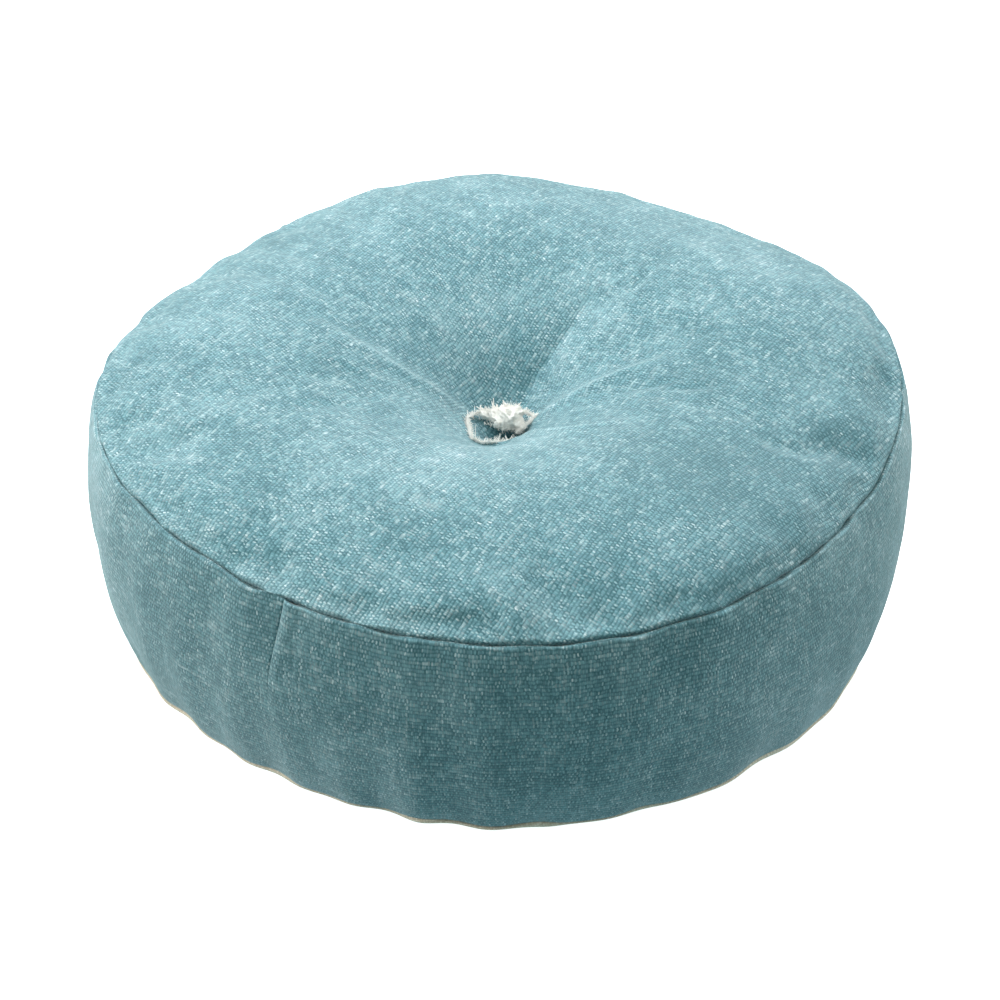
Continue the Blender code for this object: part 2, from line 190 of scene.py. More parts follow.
# Fuller stretches of the top's shoulder: direction in degrees, reach in degrees, height mm
SHOULDERS = [(-41.0, 21.0, 6.4), (-93.0, 12.0, 1.8), (-140.0, 10.0, 2.6), (-16.0, 9.0, 2.4)]

# Paler and darker patches of the top, in plan: partly fading from the wash, partly painted light and painted shade that
# stand in for the shading of the rims, folds and near lip: x mm, y mm, reach mm, reach mm, how much
WASH_AND_PAINTED_LIGHT = [
    (-44, -84, 34, 20, 0.42), (-14, 62, 36, 30, 0.40), (118, -14, 40, 30, -0.30), (100, -112, 40, 22, -0.34), (-128, 20, 40, 60, 0.12),
    (26, -118, 12, 34, 0.22), (-70, -128, 20, 18, -0.22), (40, 60, 20, 30, 0.18), (-20, 150, 50, 20, -0.15),
    (10, -166, 60, 14, -0.18), (150, 60, 20, 30, 0.12),
    (-48, -119, 30, 15, 0.42), (-90, -142, 22, 24, 0.40), (-20, -93, 24, 13, 0.30), (-112, -196, 22, 14, 0.55), (-54, -206, 34, 12, 0.55), (-30, -178, 30, 14, 0.22), (-12, -150, 12, 30, 0.16),
    (-50, -58, 26, 14, -0.34), (-68, -80, 18, 10, -0.16), (-127, 132, 22, 40, -0.26), (126, 122, 34, 22, -0.40), (181, 84, 14, 26, -0.30),
    (180, -92, 14, 28, -0.42), (157, -135, 22, 24, -0.45), (127, -168, 24, 20, -0.45), (92, -193, 26, 15, -0.42), (0, -214, 36, 6, -0.20), (50, -208, 44, 7, -0.34),
    (-178, -127, 18, 24, -0.42), (-16, 30, 16, 14, 0.22), (30, 44, 12, 14, 0.18),
    (92, -62, 34, 30, -0.30), (66, -122, 50, 26, -0.28), (132, -112, 36, 42, -0.44), (150, -150, 26, 24, -0.20), (196, 6, 12, 50, -0.60), (14, -36, 7, 7, 0.30), (30, -51, 12, 3.6, 0.55), (52, -56, 14, 3.6, 0.50), (30, -61, 22, 7, 0.22), (-22, -70, 30, 10, 0.26), (170, -60, 20, 30, -0.30),
]


def wash_and_painted_light(x, y):
    total = np.zeros_like(x)
    for px, py, rx, ry, much in WASH_AND_PAINTED_LIGHT:
        total += much * np.exp(-(((x - px) / rx) ** 2) - ((y - py) / ry) ** 2)
    return total * (0.8 + 0.4 * noise2(x, y, 24.0, 91))


def fold_field(x, y):
    """Height of all the folds over a plan point, in mm, and how sharply a crest stands there, 0 to 1."""
    total, crest = np.zeros_like(x), np.zeros_like(x)
    for points, high, wide_left, wide_right in FOLDS:
        pts = np.array(points, float)
        seg = np.diff(pts, axis=0)
        lens = np.hypot(seg[:, 0], seg[:, 1])
        start = np.concatenate([[0.0], np.cumsum(lens)])
        best = np.full(x.shape, 1e9)
        side = np.zeros_like(x)
        along = np.zeros_like(x)
        for k in range(len(seg)):
            dx, dy = x - pts[k, 0], y - pts[k, 1]
            t = np.clip((dx * seg[k, 0] + dy * seg[k, 1]) / lens[k] ** 2, 0, 1)
            qx, qy = dx - t * seg[k, 0], dy - t * seg[k, 1]
            d = np.hypot(qx, qy)
            near = d < best
            best = np.where(near, d, best)
            side = np.where(near, np.sign(seg[k, 0] * dy - seg[k, 1] * dx), side)
            along = np.where(near, (start[k] + t * lens[k]) / start[-1], along)
        wide = np.where(side > 0, wide_left, wide_right)
        soft = np.sqrt(best**2 + 1.2**2) - 1.2
        envelope = smooth(along / 0.25 + 0.25) * smooth((1.0 - along) / 0.55)
        shape = np.exp(-soft / wide)
        total += high * envelope * shape
        crest = np.maximum(crest, envelope * np.exp(-((best / 2.2) ** 2)) * min(1.0, max(0.0, high) / 3.0))
    return total, crest


def top_point(angle, rho):
    """Top panel at an angle and a share rho (0 centre, 1 seam) of the way out. Returns x, y, z in metres and a value
    that pales or darkens the cloth: rubbed wear together with painted light and painted shade.
    """
    sr, sz = seam_r(angle), seam_z(angle)
    r_mm = rho * (SEAM_R / MM)
    z = crown_at(r_mm)
    lift = (sz - SEAM_Z) / MM
    z = z + lift * smooth((rho - 0.35) / 0.65)
    x_mm, y_mm = r_mm * np.cos(angle), r_mm * np.sin(angle)
    folds, crest = fold_field(x_mm, y_mm)
    edge = (1.0 - rho) * SEAM_R / MM
    z = z + folds * smooth(edge / 40.0)
    # fuller, steeper shoulders in three places
    for place, wide, much in SHOULDERS:
        away = (angle - math.radians(place) + math.pi) % TAU - math.pi
        z = z + much * np.exp(-((away / math.radians(wide)) ** 2)) * (edge / 19.0) * np.exp(1.0 - edge / 19.0)
    # slow lumps of the filling
    z = z + 1.5 * noise2(x_mm, y_mm, 85.0, 31) * smooth(r_mm / 40.0) * smooth(edge / 18.0)
    # gathers running in from the seam
    gather = waves(angle, 22, 64, 11, 0.3)
    z = z + 0.42 * gather * np.exp(-edge / 9.0) * smooth(edge / 2.0)
    # the cover opens where the tie draws it down
    hx, hy = (x_mm - 0.5) / 13.5, (y_mm + 11.5) / 8.0
    hollow = np.exp(-((hx * hx + hy * hy) ** 1.6))
    z = z - 5.2 * hollow
    # painted shade: a mask of the hollow under the tuft, which darkens the cloth's colour there
    painted_hollow_shade = np.exp(-((((x_mm - 5.2) / 10.8) ** 2 + ((y_mm + 13.0) / 7.4) ** 2) ** 1.7))
    z = z - 6.5 * np.exp(-(((x_mm + 9.0) / 19.0) ** 2) - (((y_mm + 34.0) / 15.0) ** 2))
    z = z - 5.0 * np.exp(-(((x_mm + 8.0) / 40.0) ** 2) - (((y_mm + 52.0) / 28.0) ** 2))
    rim = np.hypot((x_mm + 2.0) / 18.0, (y_mm + 9.0) / 13.5)
    z = z + 1.3 * np.exp(-(((rim - 1.1) / 0.16) ** 2)) * smooth((6.0 - y_mm) / 16.0)
    # the panel rolls over into the seam
    pull = crease(edge, 2.2 + 0.9 * waves(angle, 30, 90, 13, 0.2), 0.42)
    z = z - 0.70 * pull
    scale = sr / SEAM_R
    blend = 1.0 + (scale - 1.0) * smooth((rho - 0.2) / 0.8)
    reach = r_mm * blend - 0.70 * pull
    # crests paler as rubbed wear and painted highlight, a rubbed lip beside the seam, the wash patches with their
    # painted light and shade, and painted shade in the hollow under the tie
    wear_and_painted_light = np.clip(0.55 * crest + 0.26 * np.exp(-(((edge - 3.4) / 2.2) ** 2)) + wash_and_painted_light(x_mm, y_mm), -0.62, 1) - 3.0 * painted_hollow_shade
    return np.stack([reach * np.cos(angle) * MM, reach * np.sin(angle) * MM, z * MM], -1), wear_and_painted_light


# Paler and darker stretches of the band: direction in degrees, reach in degrees, how much, lean in degrees from top to
# bottom; partly harder-washed cloth, partly painted light on the far left and far right edges and painted shade on the
# right front
BAND_WASH_AND_PAINTED_LIGHT = [(203.0, 8.5, 1.30, 15.0), (190.0, 6.0, 0.2, 0.0), (222.0, 5.0, -0.22, 8.0), (232.0, 5.0, 0.10, 0.0), (-18.0, 8.0, 1.20, -12.0),
          (-2.0, 8.0, 0.4, 0.0), (-42.0, 10.0, -0.40, -6.0), (-27.0, 6.0, 0.10, 0.0), (120.0, 22.0, 0.30, 0.0)]


def band_point(angle, t):
    """Band at an angle, t from 0 at the upper seam to 1 at the lower seam."""
    hi_r, hi_z, lo_r, lo_z = seam_r(angle), seam_z(angle), low_r(angle), low_z(angle)
    flat_z = SEAM_Z + (LOW_Z - SEAM_Z) * t
    near_zip = smooth((angle % TAU - ZIP_A + 0.14) / 0.14) * smooth((ZIP_B + 0.14 - angle % TAU) / 0.14)
    near_zip = near_zip * smooth((40.0 - np.abs(flat_z - ZIP_Z) / MM) / 24.0)
    z = hi_z + (lo_z - hi_z) * t
    z = z + (flat_z - z) * near_zip
    r = hi_r + (lo_r - hi_r) * t
    high = (hi_z - z) / MM
    low = (z - lo_z) / MM
    r = r + BULGE * (4.0 * t * (1.0 - t)) ** 0.80
    # gathers under the upper seam and the deeper scallops of the lower seam
    gather = waves(angle, 24, 70, 12, 0.3)
    r = r + 0.38 * MM * gather * np.exp(-high / 9.0) * smooth(high / 1.5)
    sc = scallop(angle)
    r = r + (1.7 * sc - 0.9) * MM * np.exp(-low / 11.0) * smooth(low / 2.0)
    # slow lumps of the filling
    s_mm = angle * SEAM_R / MM
    r = r + 1.1 * MM * noise2(s_mm + 3000, z / MM, 70.0, 51) * smooth(high / 16.0) * smooth(low / 16.0)
    r = r + 0.30 * MM * noise2(s_mm + 3000, z / MM, 17.0, 53, 2) * smooth(high / 6.0) * smooth(low / 6.0)
    cad_t = np.clip((SEAM_Z - z) / (SEAM_Z - CAD_LOW_Z), 0.0, 1.0)
    cad_r = SEAM_R + (LOW_R - SEAM_R) * cad_t + CAD_BULGE * (4.0 * cad_t * (1.0 - cad_t)) ** 0.86
    r = r + (cad_r - r) * near_zip
    # rolls into both seams
    pull, tuck = crease(high, 2.2 + 0.9 * waves(angle, 30, 90, 13, 0.2), 0.46), crease(low, 1.6, 0.6)
    r = r - 0.70 * MM * pull - 0.9 * MM * tuck
    z = z - 0.70 * MM * pull
    # painted shade: the band darker just under the upper seam; a paler roll just above the lower seam
    wear_and_painted_light = -0.20 * np.exp(-((high / 9.0) ** 2)) * (1.0 + 0.6 * noise2(s_mm + 500, z / MM, 14.0, 58, 2)) + 0.3 * np.exp(-(((low - 2.4) / 1.6) ** 2))
    # paler and darker stretches of the band: harder-washed cloth together with painted light at the far side edges and
    # painted shade at the right front
    for place, wide, much, slant in BAND_WASH_AND_PAINTED_LIGHT:
        away = (angle - np.radians(place + slant * (t - 0.5)) + math.pi) % TAU - math.pi
        wear_and_painted_light = wear_and_painted_light + much * np.exp(-((away / math.radians(wide)) ** 2)) * (0.55 + 0.45 * noise2(s_mm + 900, z / MM, 21.0, 57))
    wear_and_painted_light = np.clip(wear_and_painted_light, -0.3, 1)
    return r, z, wear_and_painted_light


# ------------------------------------------------------------------ mesh making

def grid(name, P, uv=None, wear_and_painted_light=None, wrap=False, body="cushion", smooth_shade=True):
    """A sheet of quads from an array of points (rows, columns). Rows run down the profile and columns anticlockwise, so faces look out."""
    nj, ni = P.shape[:2]
    cols = ni if wrap else ni - 1
    j, i = np.meshgrid(np.arange(nj - 1), np.arange(cols), indexing="ij")
    i2 = (i + 1) % ni
    quads = np.stack([j * ni + i, (j + 1) * ni + i, (j + 1) * ni + i2, j * ni + i2], -1).reshape(-1, 4)
    mesh = bpy.data.meshes.new(name)
    mesh.vertices.add(nj * ni)
    mesh.vertices.foreach_set("co", np.ascontiguousarray(P, np.float32).ravel())
    mesh.loops.add(quads.size)
    mesh.loops.foreach_set("vertex_index", quads.astype(np.int32).ravel())
    mesh.polygons.add(len(quads))
    mesh.polygons.foreach_set("loop_start", np.arange(0, quads.size, 4, dtype=np.int32))
    mesh.update(calc_edges=True)
    if uv is not None:
        layer = mesh.uv_layers.new(name="cloth")
        u = np.concatenate([uv, uv[:, :1]], 1) if wrap and uv.shape[1] == ni else uv
        corner = np.stack([u[j, i], u[j + 1, i], u[j + 1, i + 1], u[j, i + 1]], 2).reshape(-1, 2)
        layer.data.foreach_set("uv", np.ascontiguousarray(corner, np.float32).ravel())
    if wear_and_painted_light is not None:
        attribute = mesh.attributes.new("wear_and_painted_light", "FLOAT", "POINT")
        attribute.data.foreach_set("value", np.ascontiguousarray(wear_and_painted_light, np.float32).ravel())
    if smooth_shade:
        mesh.shade_smooth()
    mesh.validate()
    obj = bpy.data.objects.new(name, mesh)
    bpy.context.scene.collection.objects.link(obj)
    if body:
        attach(obj, body)
    return obj


def tube_mesh(name, lines, radius, sides=6, body="cushion", twist=None):
    """Closed round tubes along polylines, as one mesh. radius is a number or one for each line (or for each point)."""
    verts, faces = [], []
    base = 0
    for n, line in enumerate(lines):
        line = np.asarray(line, float)
        rad = radius[n] if isinstance(radius, (list, tuple)) else radius
        rad = np.broadcast_to(np.asarray(rad, float), (len(line),))
        tang = np.gradient(line, axis=0)
        tang /= np.linalg.norm(tang, axis=1)[:, None] + 1e-12
        ref = np.array([0.0, 0.0, 1.0]) if abs(tang[0][2]) < 0.9 else np.array([1.0, 0.0, 0.0])
        for k in range(len(line)):
            side = np.cross(tang[k], ref)
            side /= np.linalg.norm(side) + 1e-12
            ref = np.cross(side, tang[k])
            a = np.arange(sides) * TAU / sides
            ringp = line[k] + rad[k] * (np.cos(a)[:, None] * side + np.sin(a)[:, None] * ref)
            verts.extend(ringp.tolist())
        for k in range(len(line) - 1):
            for s in range(sides):
                s2 = (s + 1) % sides
                faces.append((base + k * sides + s, base + k * sides + s2, base + (k + 1) * sides + s2, base + (k + 1) * sides + s))
        faces.append(tuple(base + s for s in reversed(range(sides))))
        faces.append(tuple(base + (len(line) - 1) * sides + s for s in range(sides)))
        base += len(line) * sides
    mesh = bpy.data.meshes.new(name)
    mesh.from_pydata(verts, [], faces)
    bm = bmesh.new()
    bm.from_mesh(mesh)
    bmesh.ops.recalc_face_normals(bm, faces=bm.faces)
    bm.to_mesh(mesh)
    bm.free()
    mesh.shade_smooth()
    obj = bpy.data.objects.new(name, mesh)
    bpy.context.scene.collection.objects.link(obj)
    if body:
        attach(obj, body)
    return obj


# ------------------------------------------------------------------ materials

class Tree:
    """Short ways to add shader nodes."""

    def __init__(self, name):
        self.material = bpy.data.materials.new(name)
        self.material.use_nodes = True
        self.tree = self.material.node_tree
        self.tree.nodes.clear()
        self.out = self.tree.nodes.new("ShaderNodeOutputMaterial")
        self.shader = self.tree.nodes.new("ShaderNodeBsdfPrincipled")
        self.tree.links.new(self.shader.outputs[0], self.out.inputs[0])

    def put(self, socket, value):
        if isinstance(value, bpy.types.NodeSocket):
            self.tree.links.new(value, socket)
        elif value is not None:
            socket.default_value = value

    def node(self, kind, out=0, settings=None, **inputs):
        made = self.tree.nodes.new(kind)
        for key, value in (settings or {}).items():
            setattr(made, key, value)
        for key, value in inputs.items():
            self.put(made.inputs[int(key[1:]) if key[0] == "i" and key[1:].isdigit() else key.replace("_", " ")], value)
        return made.outputs[out]

    def math(self, operation, a, b=None, c=None, clamp=False):
        return self.node("ShaderNodeMath", settings={"operation": operation, "use_clamp": clamp}, i0=a, i1=b, i2=c)

    def vector(self, operation, a, b=None, out=0):
        return self.node("ShaderNodeVectorMath", out=out, settings={"operation": operation}, i0=a, i1=b)

    def mix(self, share, a, b, blend="MIX"):
        made = self.tree.nodes.new("ShaderNodeMix")
        made.data_type = "RGBA"
        made.blend_type = blend
        self.put(made.inputs[0], share)
        self.put(made.inputs[6], a)
        self.put(made.inputs[7], b)
        return made.outputs[2]

    def ramp(self, value, stops):
        made = self.tree.nodes.new("ShaderNodeValToRGB")
        self.put(made.inputs[0], value)
        while len(made.color_ramp.elements) < len(stops):
            made.color_ramp.elements.new(0.5)
        for element, (place, colour) in zip(made.color_ramp.elements, stops):
            element.position = place
            element.color = colour if len(colour) == 4 else (*colour, 1.0)
        return made.outputs[0]

    def noise(self, vector, scale, detail=2.0, rough=0.5, out=0):
        return self.node("ShaderNodeTexNoise", out=out, Vector=vector, Scale=scale, Detail=detail, Roughness=rough)

    def remap(self, value, a, b, c=0.0, d=1.0):
        return self.node("ShaderNodeMapRange", i0=value, i1=a, i2=b, i3=c, i4=d)


def canvas(name, base, deep, pale, turn=0.0, pitch=(0.90, 2.10), fleck=1.0, cloud=1.0, relief=0.32, wear_and_painted_light=True, sheen=0.35, uv="cloth"):
    """Plain-weave canvas. base, deep and pale are linear colours of the yarn, of the hollows between yarns and of the undyed flecks."""
    t = Tree(name)
    place = t.node("ShaderNodeUVMap", settings={"uv_map": uv})
    turned = t.node("ShaderNodeVectorRotate", settings={"rotation_type": "Z_AXIS"}, Vector=place, Angle=math.radians(turn))
    mm = t.vector("MULTIPLY", turned, (1000.0, 1000.0, 1000.0))
    # yarns wander a little
    wobble = t.noise(mm, 0.11, 2.0, 0.5, out=1)
    wobble = t.vector("SUBTRACT", wobble, (0.5, 0.5, 0.5))
    wobble = t.vector("MULTIPLY", wobble, (2.2, 2.2, 0.0))
    fine = t.noise(mm, 0.42, 2.0, 0.5, out=1)
    fine = t.vector("SUBTRACT", fine, (0.5, 0.5, 0.5))
    # and lie less evenly in some places than in others
    loose = t.remap(t.noise(mm, 0.014, 2.0, 0.5), 0.40, 0.60, 0.9, 2.6)
    fine = t.vector("MULTIPLY", fine, t.node("ShaderNodeCombineXYZ", i0=t.math("MULTIPLY", loose, 0.55), i1=loose, i2=0.0))
    where = t.vector("ADD", t.vector("ADD", mm, wobble), fine)
    yarn = t.vector("MULTIPLY", where, (1.0 / pitch[0], 1.0 / pitch[1], 0.0))
    split = t.tree.nodes.new("ShaderNodeSeparateXYZ")
    t.put(split.inputs[0], yarn)
    u, v = split.outputs[0], split.outputs[1]
    cu, cv = t.math("FLOOR", u), t.math("FLOOR", v)
    # rounded yarn crowns, over and under in turn
    su = t.math("ABSOLUTE", t.math("SINE", t.math("MULTIPLY", u, math.pi)))
    sv = t.math("ABSOLUTE", t.math("SINE", t.math("MULTIPLY", v, math.pi)))
    parity = t.math("MODULO", t.math("ADD", t.math("ADD", cu, cv), 20000.0), 2.0)
    parity = t.math("ROUND", parity)
    other = t.math("SUBTRACT", 1.0, parity)
    # yarn thickness varies from yarn to yarn and along it
    along_u = t.node("ShaderNodeTexNoise", settings={"noise_dimensions": "2D"},
                     Vector=t.vector("MULTIPLY", t.node("ShaderNodeCombineXYZ", i0=cu, i1=t.math("MULTIPLY", v, 0.09), i2=0.0), (7.31, 1.0, 1.0)),
                     Scale=1.0, Detail=2.0)
    along_v = t.node("ShaderNodeTexNoise", settings={"noise_dimensions": "2D"},
                     Vector=t.vector("MULTIPLY", t.node("ShaderNodeCombineXYZ", i0=t.math("MULTIPLY", u, 0.09), i1=cv, i2=0.0), (1.0, 7.77, 1.0)),
                     Scale=1.0, Detail=2.0)
    warp_size = t.remap(along_u, 0.3, 0.7, 0.72, 1.18)
    weft_size = t.remap(along_v, 0.3, 0.7, 0.62, 1.12)
    warp = t.math("MULTIPLY", t.math("MULTIPLY", t.math("POWER", su, 0.55), t.math("POWER", sv, 0.75)), warp_size)
    weft = t.math("MULTIPLY", t.math("MULTIPLY", t.math("POWER", sv, 0.75), t.math("POWER", su, 0.25)), t.math("MULTIPLY", weft_size, 0.60))
    height = t.math("ADD", t.math("MULTIPLY", warp, parity), t.math("MULTIPLY", weft, other))
    # each crown's own lightness
    cell = t.node("ShaderNodeCombineXYZ", i0=cu, i1=cv, i2=3.0)
    chance = t.node("ShaderNodeTexWhiteNoise", settings={"noise_dimensions": "2D"}, Vector=cell)
    patch = t.noise(mm, 0.17, 3.0, 0.6)
    # undyed lengths of yarn, a few crossings long
    shift = t.node("ShaderNodeTexWhiteNoise", settings={"noise_dimensions": "1D"}, W=cv)
    run = t.math("FLOOR", t.math("ADD", t.math("MULTIPLY", u, 0.29), t.math("MULTIPLY", shift, 9.0)))
    length = t.node("ShaderNodeTexWhiteNoise", settings={"noise_dimensions": "2D"}, Vector=t.node("ShaderNodeCombineXYZ", i0=run, i1=cv, i2=0.0))
    slub_u = t.math("MULTIPLY", t.remap(along_u, 0.56, 0.72), parity)
    slub_v = t.math("MULTIPLY", t.remap(along_v, 0.56, 0.72), other)
    slub = t.math("ADD", slub_u, slub_v, clamp=True)
    mixed = t.math("ADD", t.math("MULTIPLY", chance, 0.34), t.math("MULTIPLY", length, 0.40))
    bits = t.remap(t.math("ADD", mixed, t.math("MULTIPLY", patch, 0.75)), 0.84, 1.10)
    bits = t.math("MULTIPLY", bits, t.remap(height, 0.25, 0.8))
    fade = t.noise(mm, 0.016, 3.0, 0.55)
    fade2 = t.noise(mm, 0.05, 3.0, 0.6)
    cloudy = t.math("MULTIPLY", t.math("ADD", t.remap(fade, 0.3, 0.7, -0.5, 0.5), t.remap(fade2, 0.3, 0.7, -0.35, 0.35)), cloud)
    # the mesh's value for rubbed wear together with painted light and painted shade, which pales or darkens the colour
    wear_and_painted_light_value = t.node("ShaderNodeAttribute", out=2, settings={"attribute_name": "wear_and_painted_light"}) if wear_and_painted_light else 0.0
    light = t.math("ADD", t.remap(height, 0.0, 0.95, -0.06, 0.86), t.math("MULTIPLY", t.math("SUBTRACT", chance, 0.5), 0.62))
    light = t.math("ADD", light, t.math("MULTIPLY", cloudy, 0.22))
    light = t.math("ADD", light, t.math("MULTIPLY", wear_and_painted_light_value, 0.34), clamp=True)
    body_colour = t.mix(light, (*deep, 1.0), (*base, 1.0))
    amount = t.math("ADD", t.math("MULTIPLY", bits, 0.62 * fleck), t.math("MULTIPLY", slub, 0.26 * fleck))
    amount = t.math("ADD", amount, t.math("MULTIPLY", cloudy, 0.10 * fleck))
    amount = t.math("ADD", amount, t.math("MULTIPLY", wear_and_painted_light_value, t.remap(height, 0.3, 0.9, 0.05, 0.5)), clamp=True)
    colour = t.mix(amount, body_colour, (*pale, 1.0))
    if wear_and_painted_light:
        # painted shade: near-black in the hollow under the tie
        colour = t.mix(t.remap(wear_and_painted_light_value, -0.7, -2.6, 0.0, 0.80), colour, (0.012, 0.036, 0.042, 1.0))
    t.put(t.shader.inputs["Base Color"], colour)
    t.put(t.shader.inputs["Roughness"], t.remap(height, 0.0, 1.0, 0.97, 0.86))
    t.shader.inputs["Specular IOR Level"].default_value = 0.25
    t.shader.inputs["Sheen Weight"].default_value = sheen
    t.shader.inputs["Sheen Roughness"].default_value = 0.55
    t.shader.inputs["Sheen Tint"].default_value = (0.92, 0.97, 1.0, 1.0)
    fuzz = t.noise(mm, 3.2, 2.0, 0.6)
    relief_in = t.math("ADD", t.math("MULTIPLY", height, 1.0), t.math("MULTIPLY", fuzz, 0.25))
    bump = t.node("ShaderNodeBump", Height=relief_in, Distance=relief * MM, Strength=1.0)
    t.put(t.shader.inputs["Normal"], bump)
    return t.material


TEAL = dict(base=(0.194, 0.408, 0.462), deep=(0.048, 0.146, 0.172), pale=(0.70, 0.79, 0.81))
top_cloth = canvas("teal_canvas_top", turn=-55.0, **TEAL)
band_cloth = canvas("teal_canvas_band", turn=0.0, sheen=0.46, **TEAL)
ecru_cloth = canvas("ecru_canvas_base", base=(0.94, 0.86, 0.72), deep=(0.68, 0.59, 0.46), pale=(0.96, 0.92, 0.84), turn=12.0, pitch=(1.3, 1.5),
                    fleck=0.35, cloud=0.5, wear_and_painted_light=False, sheen=0.2)


def plain_fibre(name, colour, deep, scale=900.0, rough=0.9, bump=0.1, stretch=(1.0, 1.0, 1.0), sheen=0.2, metallic=0.0, specular=0.3):
    """A fine-grained solid material on the object's own coordinates: wadding, foam, thread, nylon, metal."""
    t = Tree(name)
    place = t.node("ShaderNodeTexCoord", out=3)
    place = t.vector("MULTIPLY", place, stretch)
    grain = t.noise(place, scale, 4.0, 0.6)
    slow = t.noise(place, scale * 0.06, 2.0, 0.5)
    share = t.math("ADD", t.remap(grain, 0.3, 0.7, 0.0, 0.8), t.remap(slow, 0.3, 0.7, 0.0, 0.2), clamp=True)
    t.put(t.shader.inputs["Base Color"], t.mix(share, (*deep, 1.0), (*colour, 1.0)))
    t.put(t.shader.inputs["Roughness"], t.remap(grain, 0.2, 0.8, min(1.0, rough + 0.08), rough - 0.08))
    t.shader.inputs["Metallic"].default_value = metallic
    t.shader.inputs["Specular IOR Level"].default_value = specular
    t.shader.inputs["Sheen Weight"].default_value = sheen
    t.put(t.shader.inputs["Normal"], t.node("ShaderNodeBump", Height=grain, Distance=bump * MM, Strength=0.8))
    return t.material


def dress(obj, material):
    obj.data.materials.clear()
    obj.data.materials.append(material)
    return obj


# ------------------------------------------------------------------ cover pieces


def uneven(start, stop, step, fine=()):
    """Angles from start to stop, about step apart and closer together round each fine angle."""
    a = [start]
    while a[-1] < stop:
        gap = step
        for place in fine:
            d = abs((a[-1] - place + math.pi) % TAU - math.pi)
            gap = min(gap, step * (0.14 + 0.86 * min(1.0, d / 0.05)))
        a.append(a[-1] + gap)
    a[-1] = stop
    return np.array(a)


def settle(P, pins, wrap, frames=22, pressure=4.0, slack=0.02, cap=3.0 * MM):
    """Lets a sheet hang slack over its filling with Blender's cloth, and gives back how far each point moved (rows, columns, 3)."""
    sheet = grid("settling_sheet", P, None, None, wrap=wrap, body=None)
    held = sheet.vertex_groups.new(name="held")
    flat = pins.ravel()
    for value in np.unique(np.round(flat, 2)):
        held.add([int(k) for k in np.nonzero(np.round(flat, 2) == value)[0]], float(value), "REPLACE")
    cloth = sheet.modifiers.new("Cloth", "CLOTH")
    setting = cloth.settings
    setting.quality = 6
    setting.mass = 0.25
    setting.air_damping = 4.0
    setting.tension_stiffness = 20.0
    setting.compression_stiffness = 20.0
    setting.shear_stiffness = 8.0
    setting.bending_stiffness = 1.4
    setting.tension_damping = setting.compression_damping = setting.shear_damping = 10.0
    setting.bending_damping = 0.8
    setting.vertex_group_mass = "held"
    setting.pin_stiffness = 1.0
    setting.shrink_min = -slack
    setting.use_pressure = True
    setting.uniform_pressure_force = pressure
    setting.effector_weights.gravity = 0.0
    cloth.collision_settings.use_collision = False
    cloth.collision_settings.use_self_collision = False
    cloth.point_cache.frame_start, cloth.point_cache.frame_end = 1, frames
    stage_scene = bpy.context.scene
    stage_scene.frame_start, stage_scene.frame_end = 1, frames
    for f in range(1, frames + 1):
        stage_scene.frame_set(f)
    settled = sheet.evaluated_get(bpy.context.evaluated_depsgraph_get()).to_mesh()
    co = np.empty(len(settled.vertices) * 3, np.float32)
    settled.vertices.foreach_get("co", co)
    stage_scene.frame_set(1)
    mesh = sheet.data
    bpy.data.objects.remove(sheet)
    bpy.data.meshes.remove(mesh)
    moved = co.reshape(P.shape).astype(float) - P
    size = np.linalg.norm(moved, axis=-1, keepdims=True)
    return moved * np.minimum(1.0, cap / np.maximum(size, 1e-9))


def blur(field, passes, wrap):
    for _ in range(passes):
        mode = np.concatenate([field[:, -1:], field, field[:, :1]], 1) if wrap else np.concatenate([field[:, :1], field, field[:, -1:]], 1)
        field = 0.25 * mode[:, :-2] + 0.5 * mode[:, 1:-1] + 0.25 * mode[:, 2:]
        tall = np.concatenate([field[:1], field, field[-1:]], 0)
        field = 0.25 * tall[:-2] + 0.5 * tall[1:-1] + 0.25 * tall[2:]
    return field


def spread(field, rows_from, cols_from, rows_to, cols_to, wrap):
    """A field on one grid read off at the rows and columns of a finer one."""
    if wrap:
        cols_from = np.concatenate([cols_from, [cols_from[0] + TAU]])
        field = np.concatenate([field, field[:, :1]], 1)
    out = np.empty((len(rows_from), len(cols_to), field.shape[2]))
    for j in range(len(rows_from)):
        for c in range(field.shape[2]):
            out[j, :, c] = np.interp(cols_to, cols_from, field[j, :, c])
    full = np.empty((len(rows_to), len(cols_to), field.shape[2]))
    for i in range(len(cols_to)):
        for c in range(field.shape[2]):
            full[:, i, c] = np.interp(rows_to, rows_from, out[:, i, c])
    return full


# top panel
rows = np.concatenate([
    np.linspace(0.010, 0.16, 26)[:-1], np.linspace(0.16, 0.94, 84)[:-1], 1.0 - 0.06 * (1.0 - np.linspace(0, 1, 20)) ** 1.4,
])
cols = np.linspace(0, TAU, 720, endpoint=False)
A, RHO = np.meshgrid(cols, rows)
P, W = top_point(A, RHO)
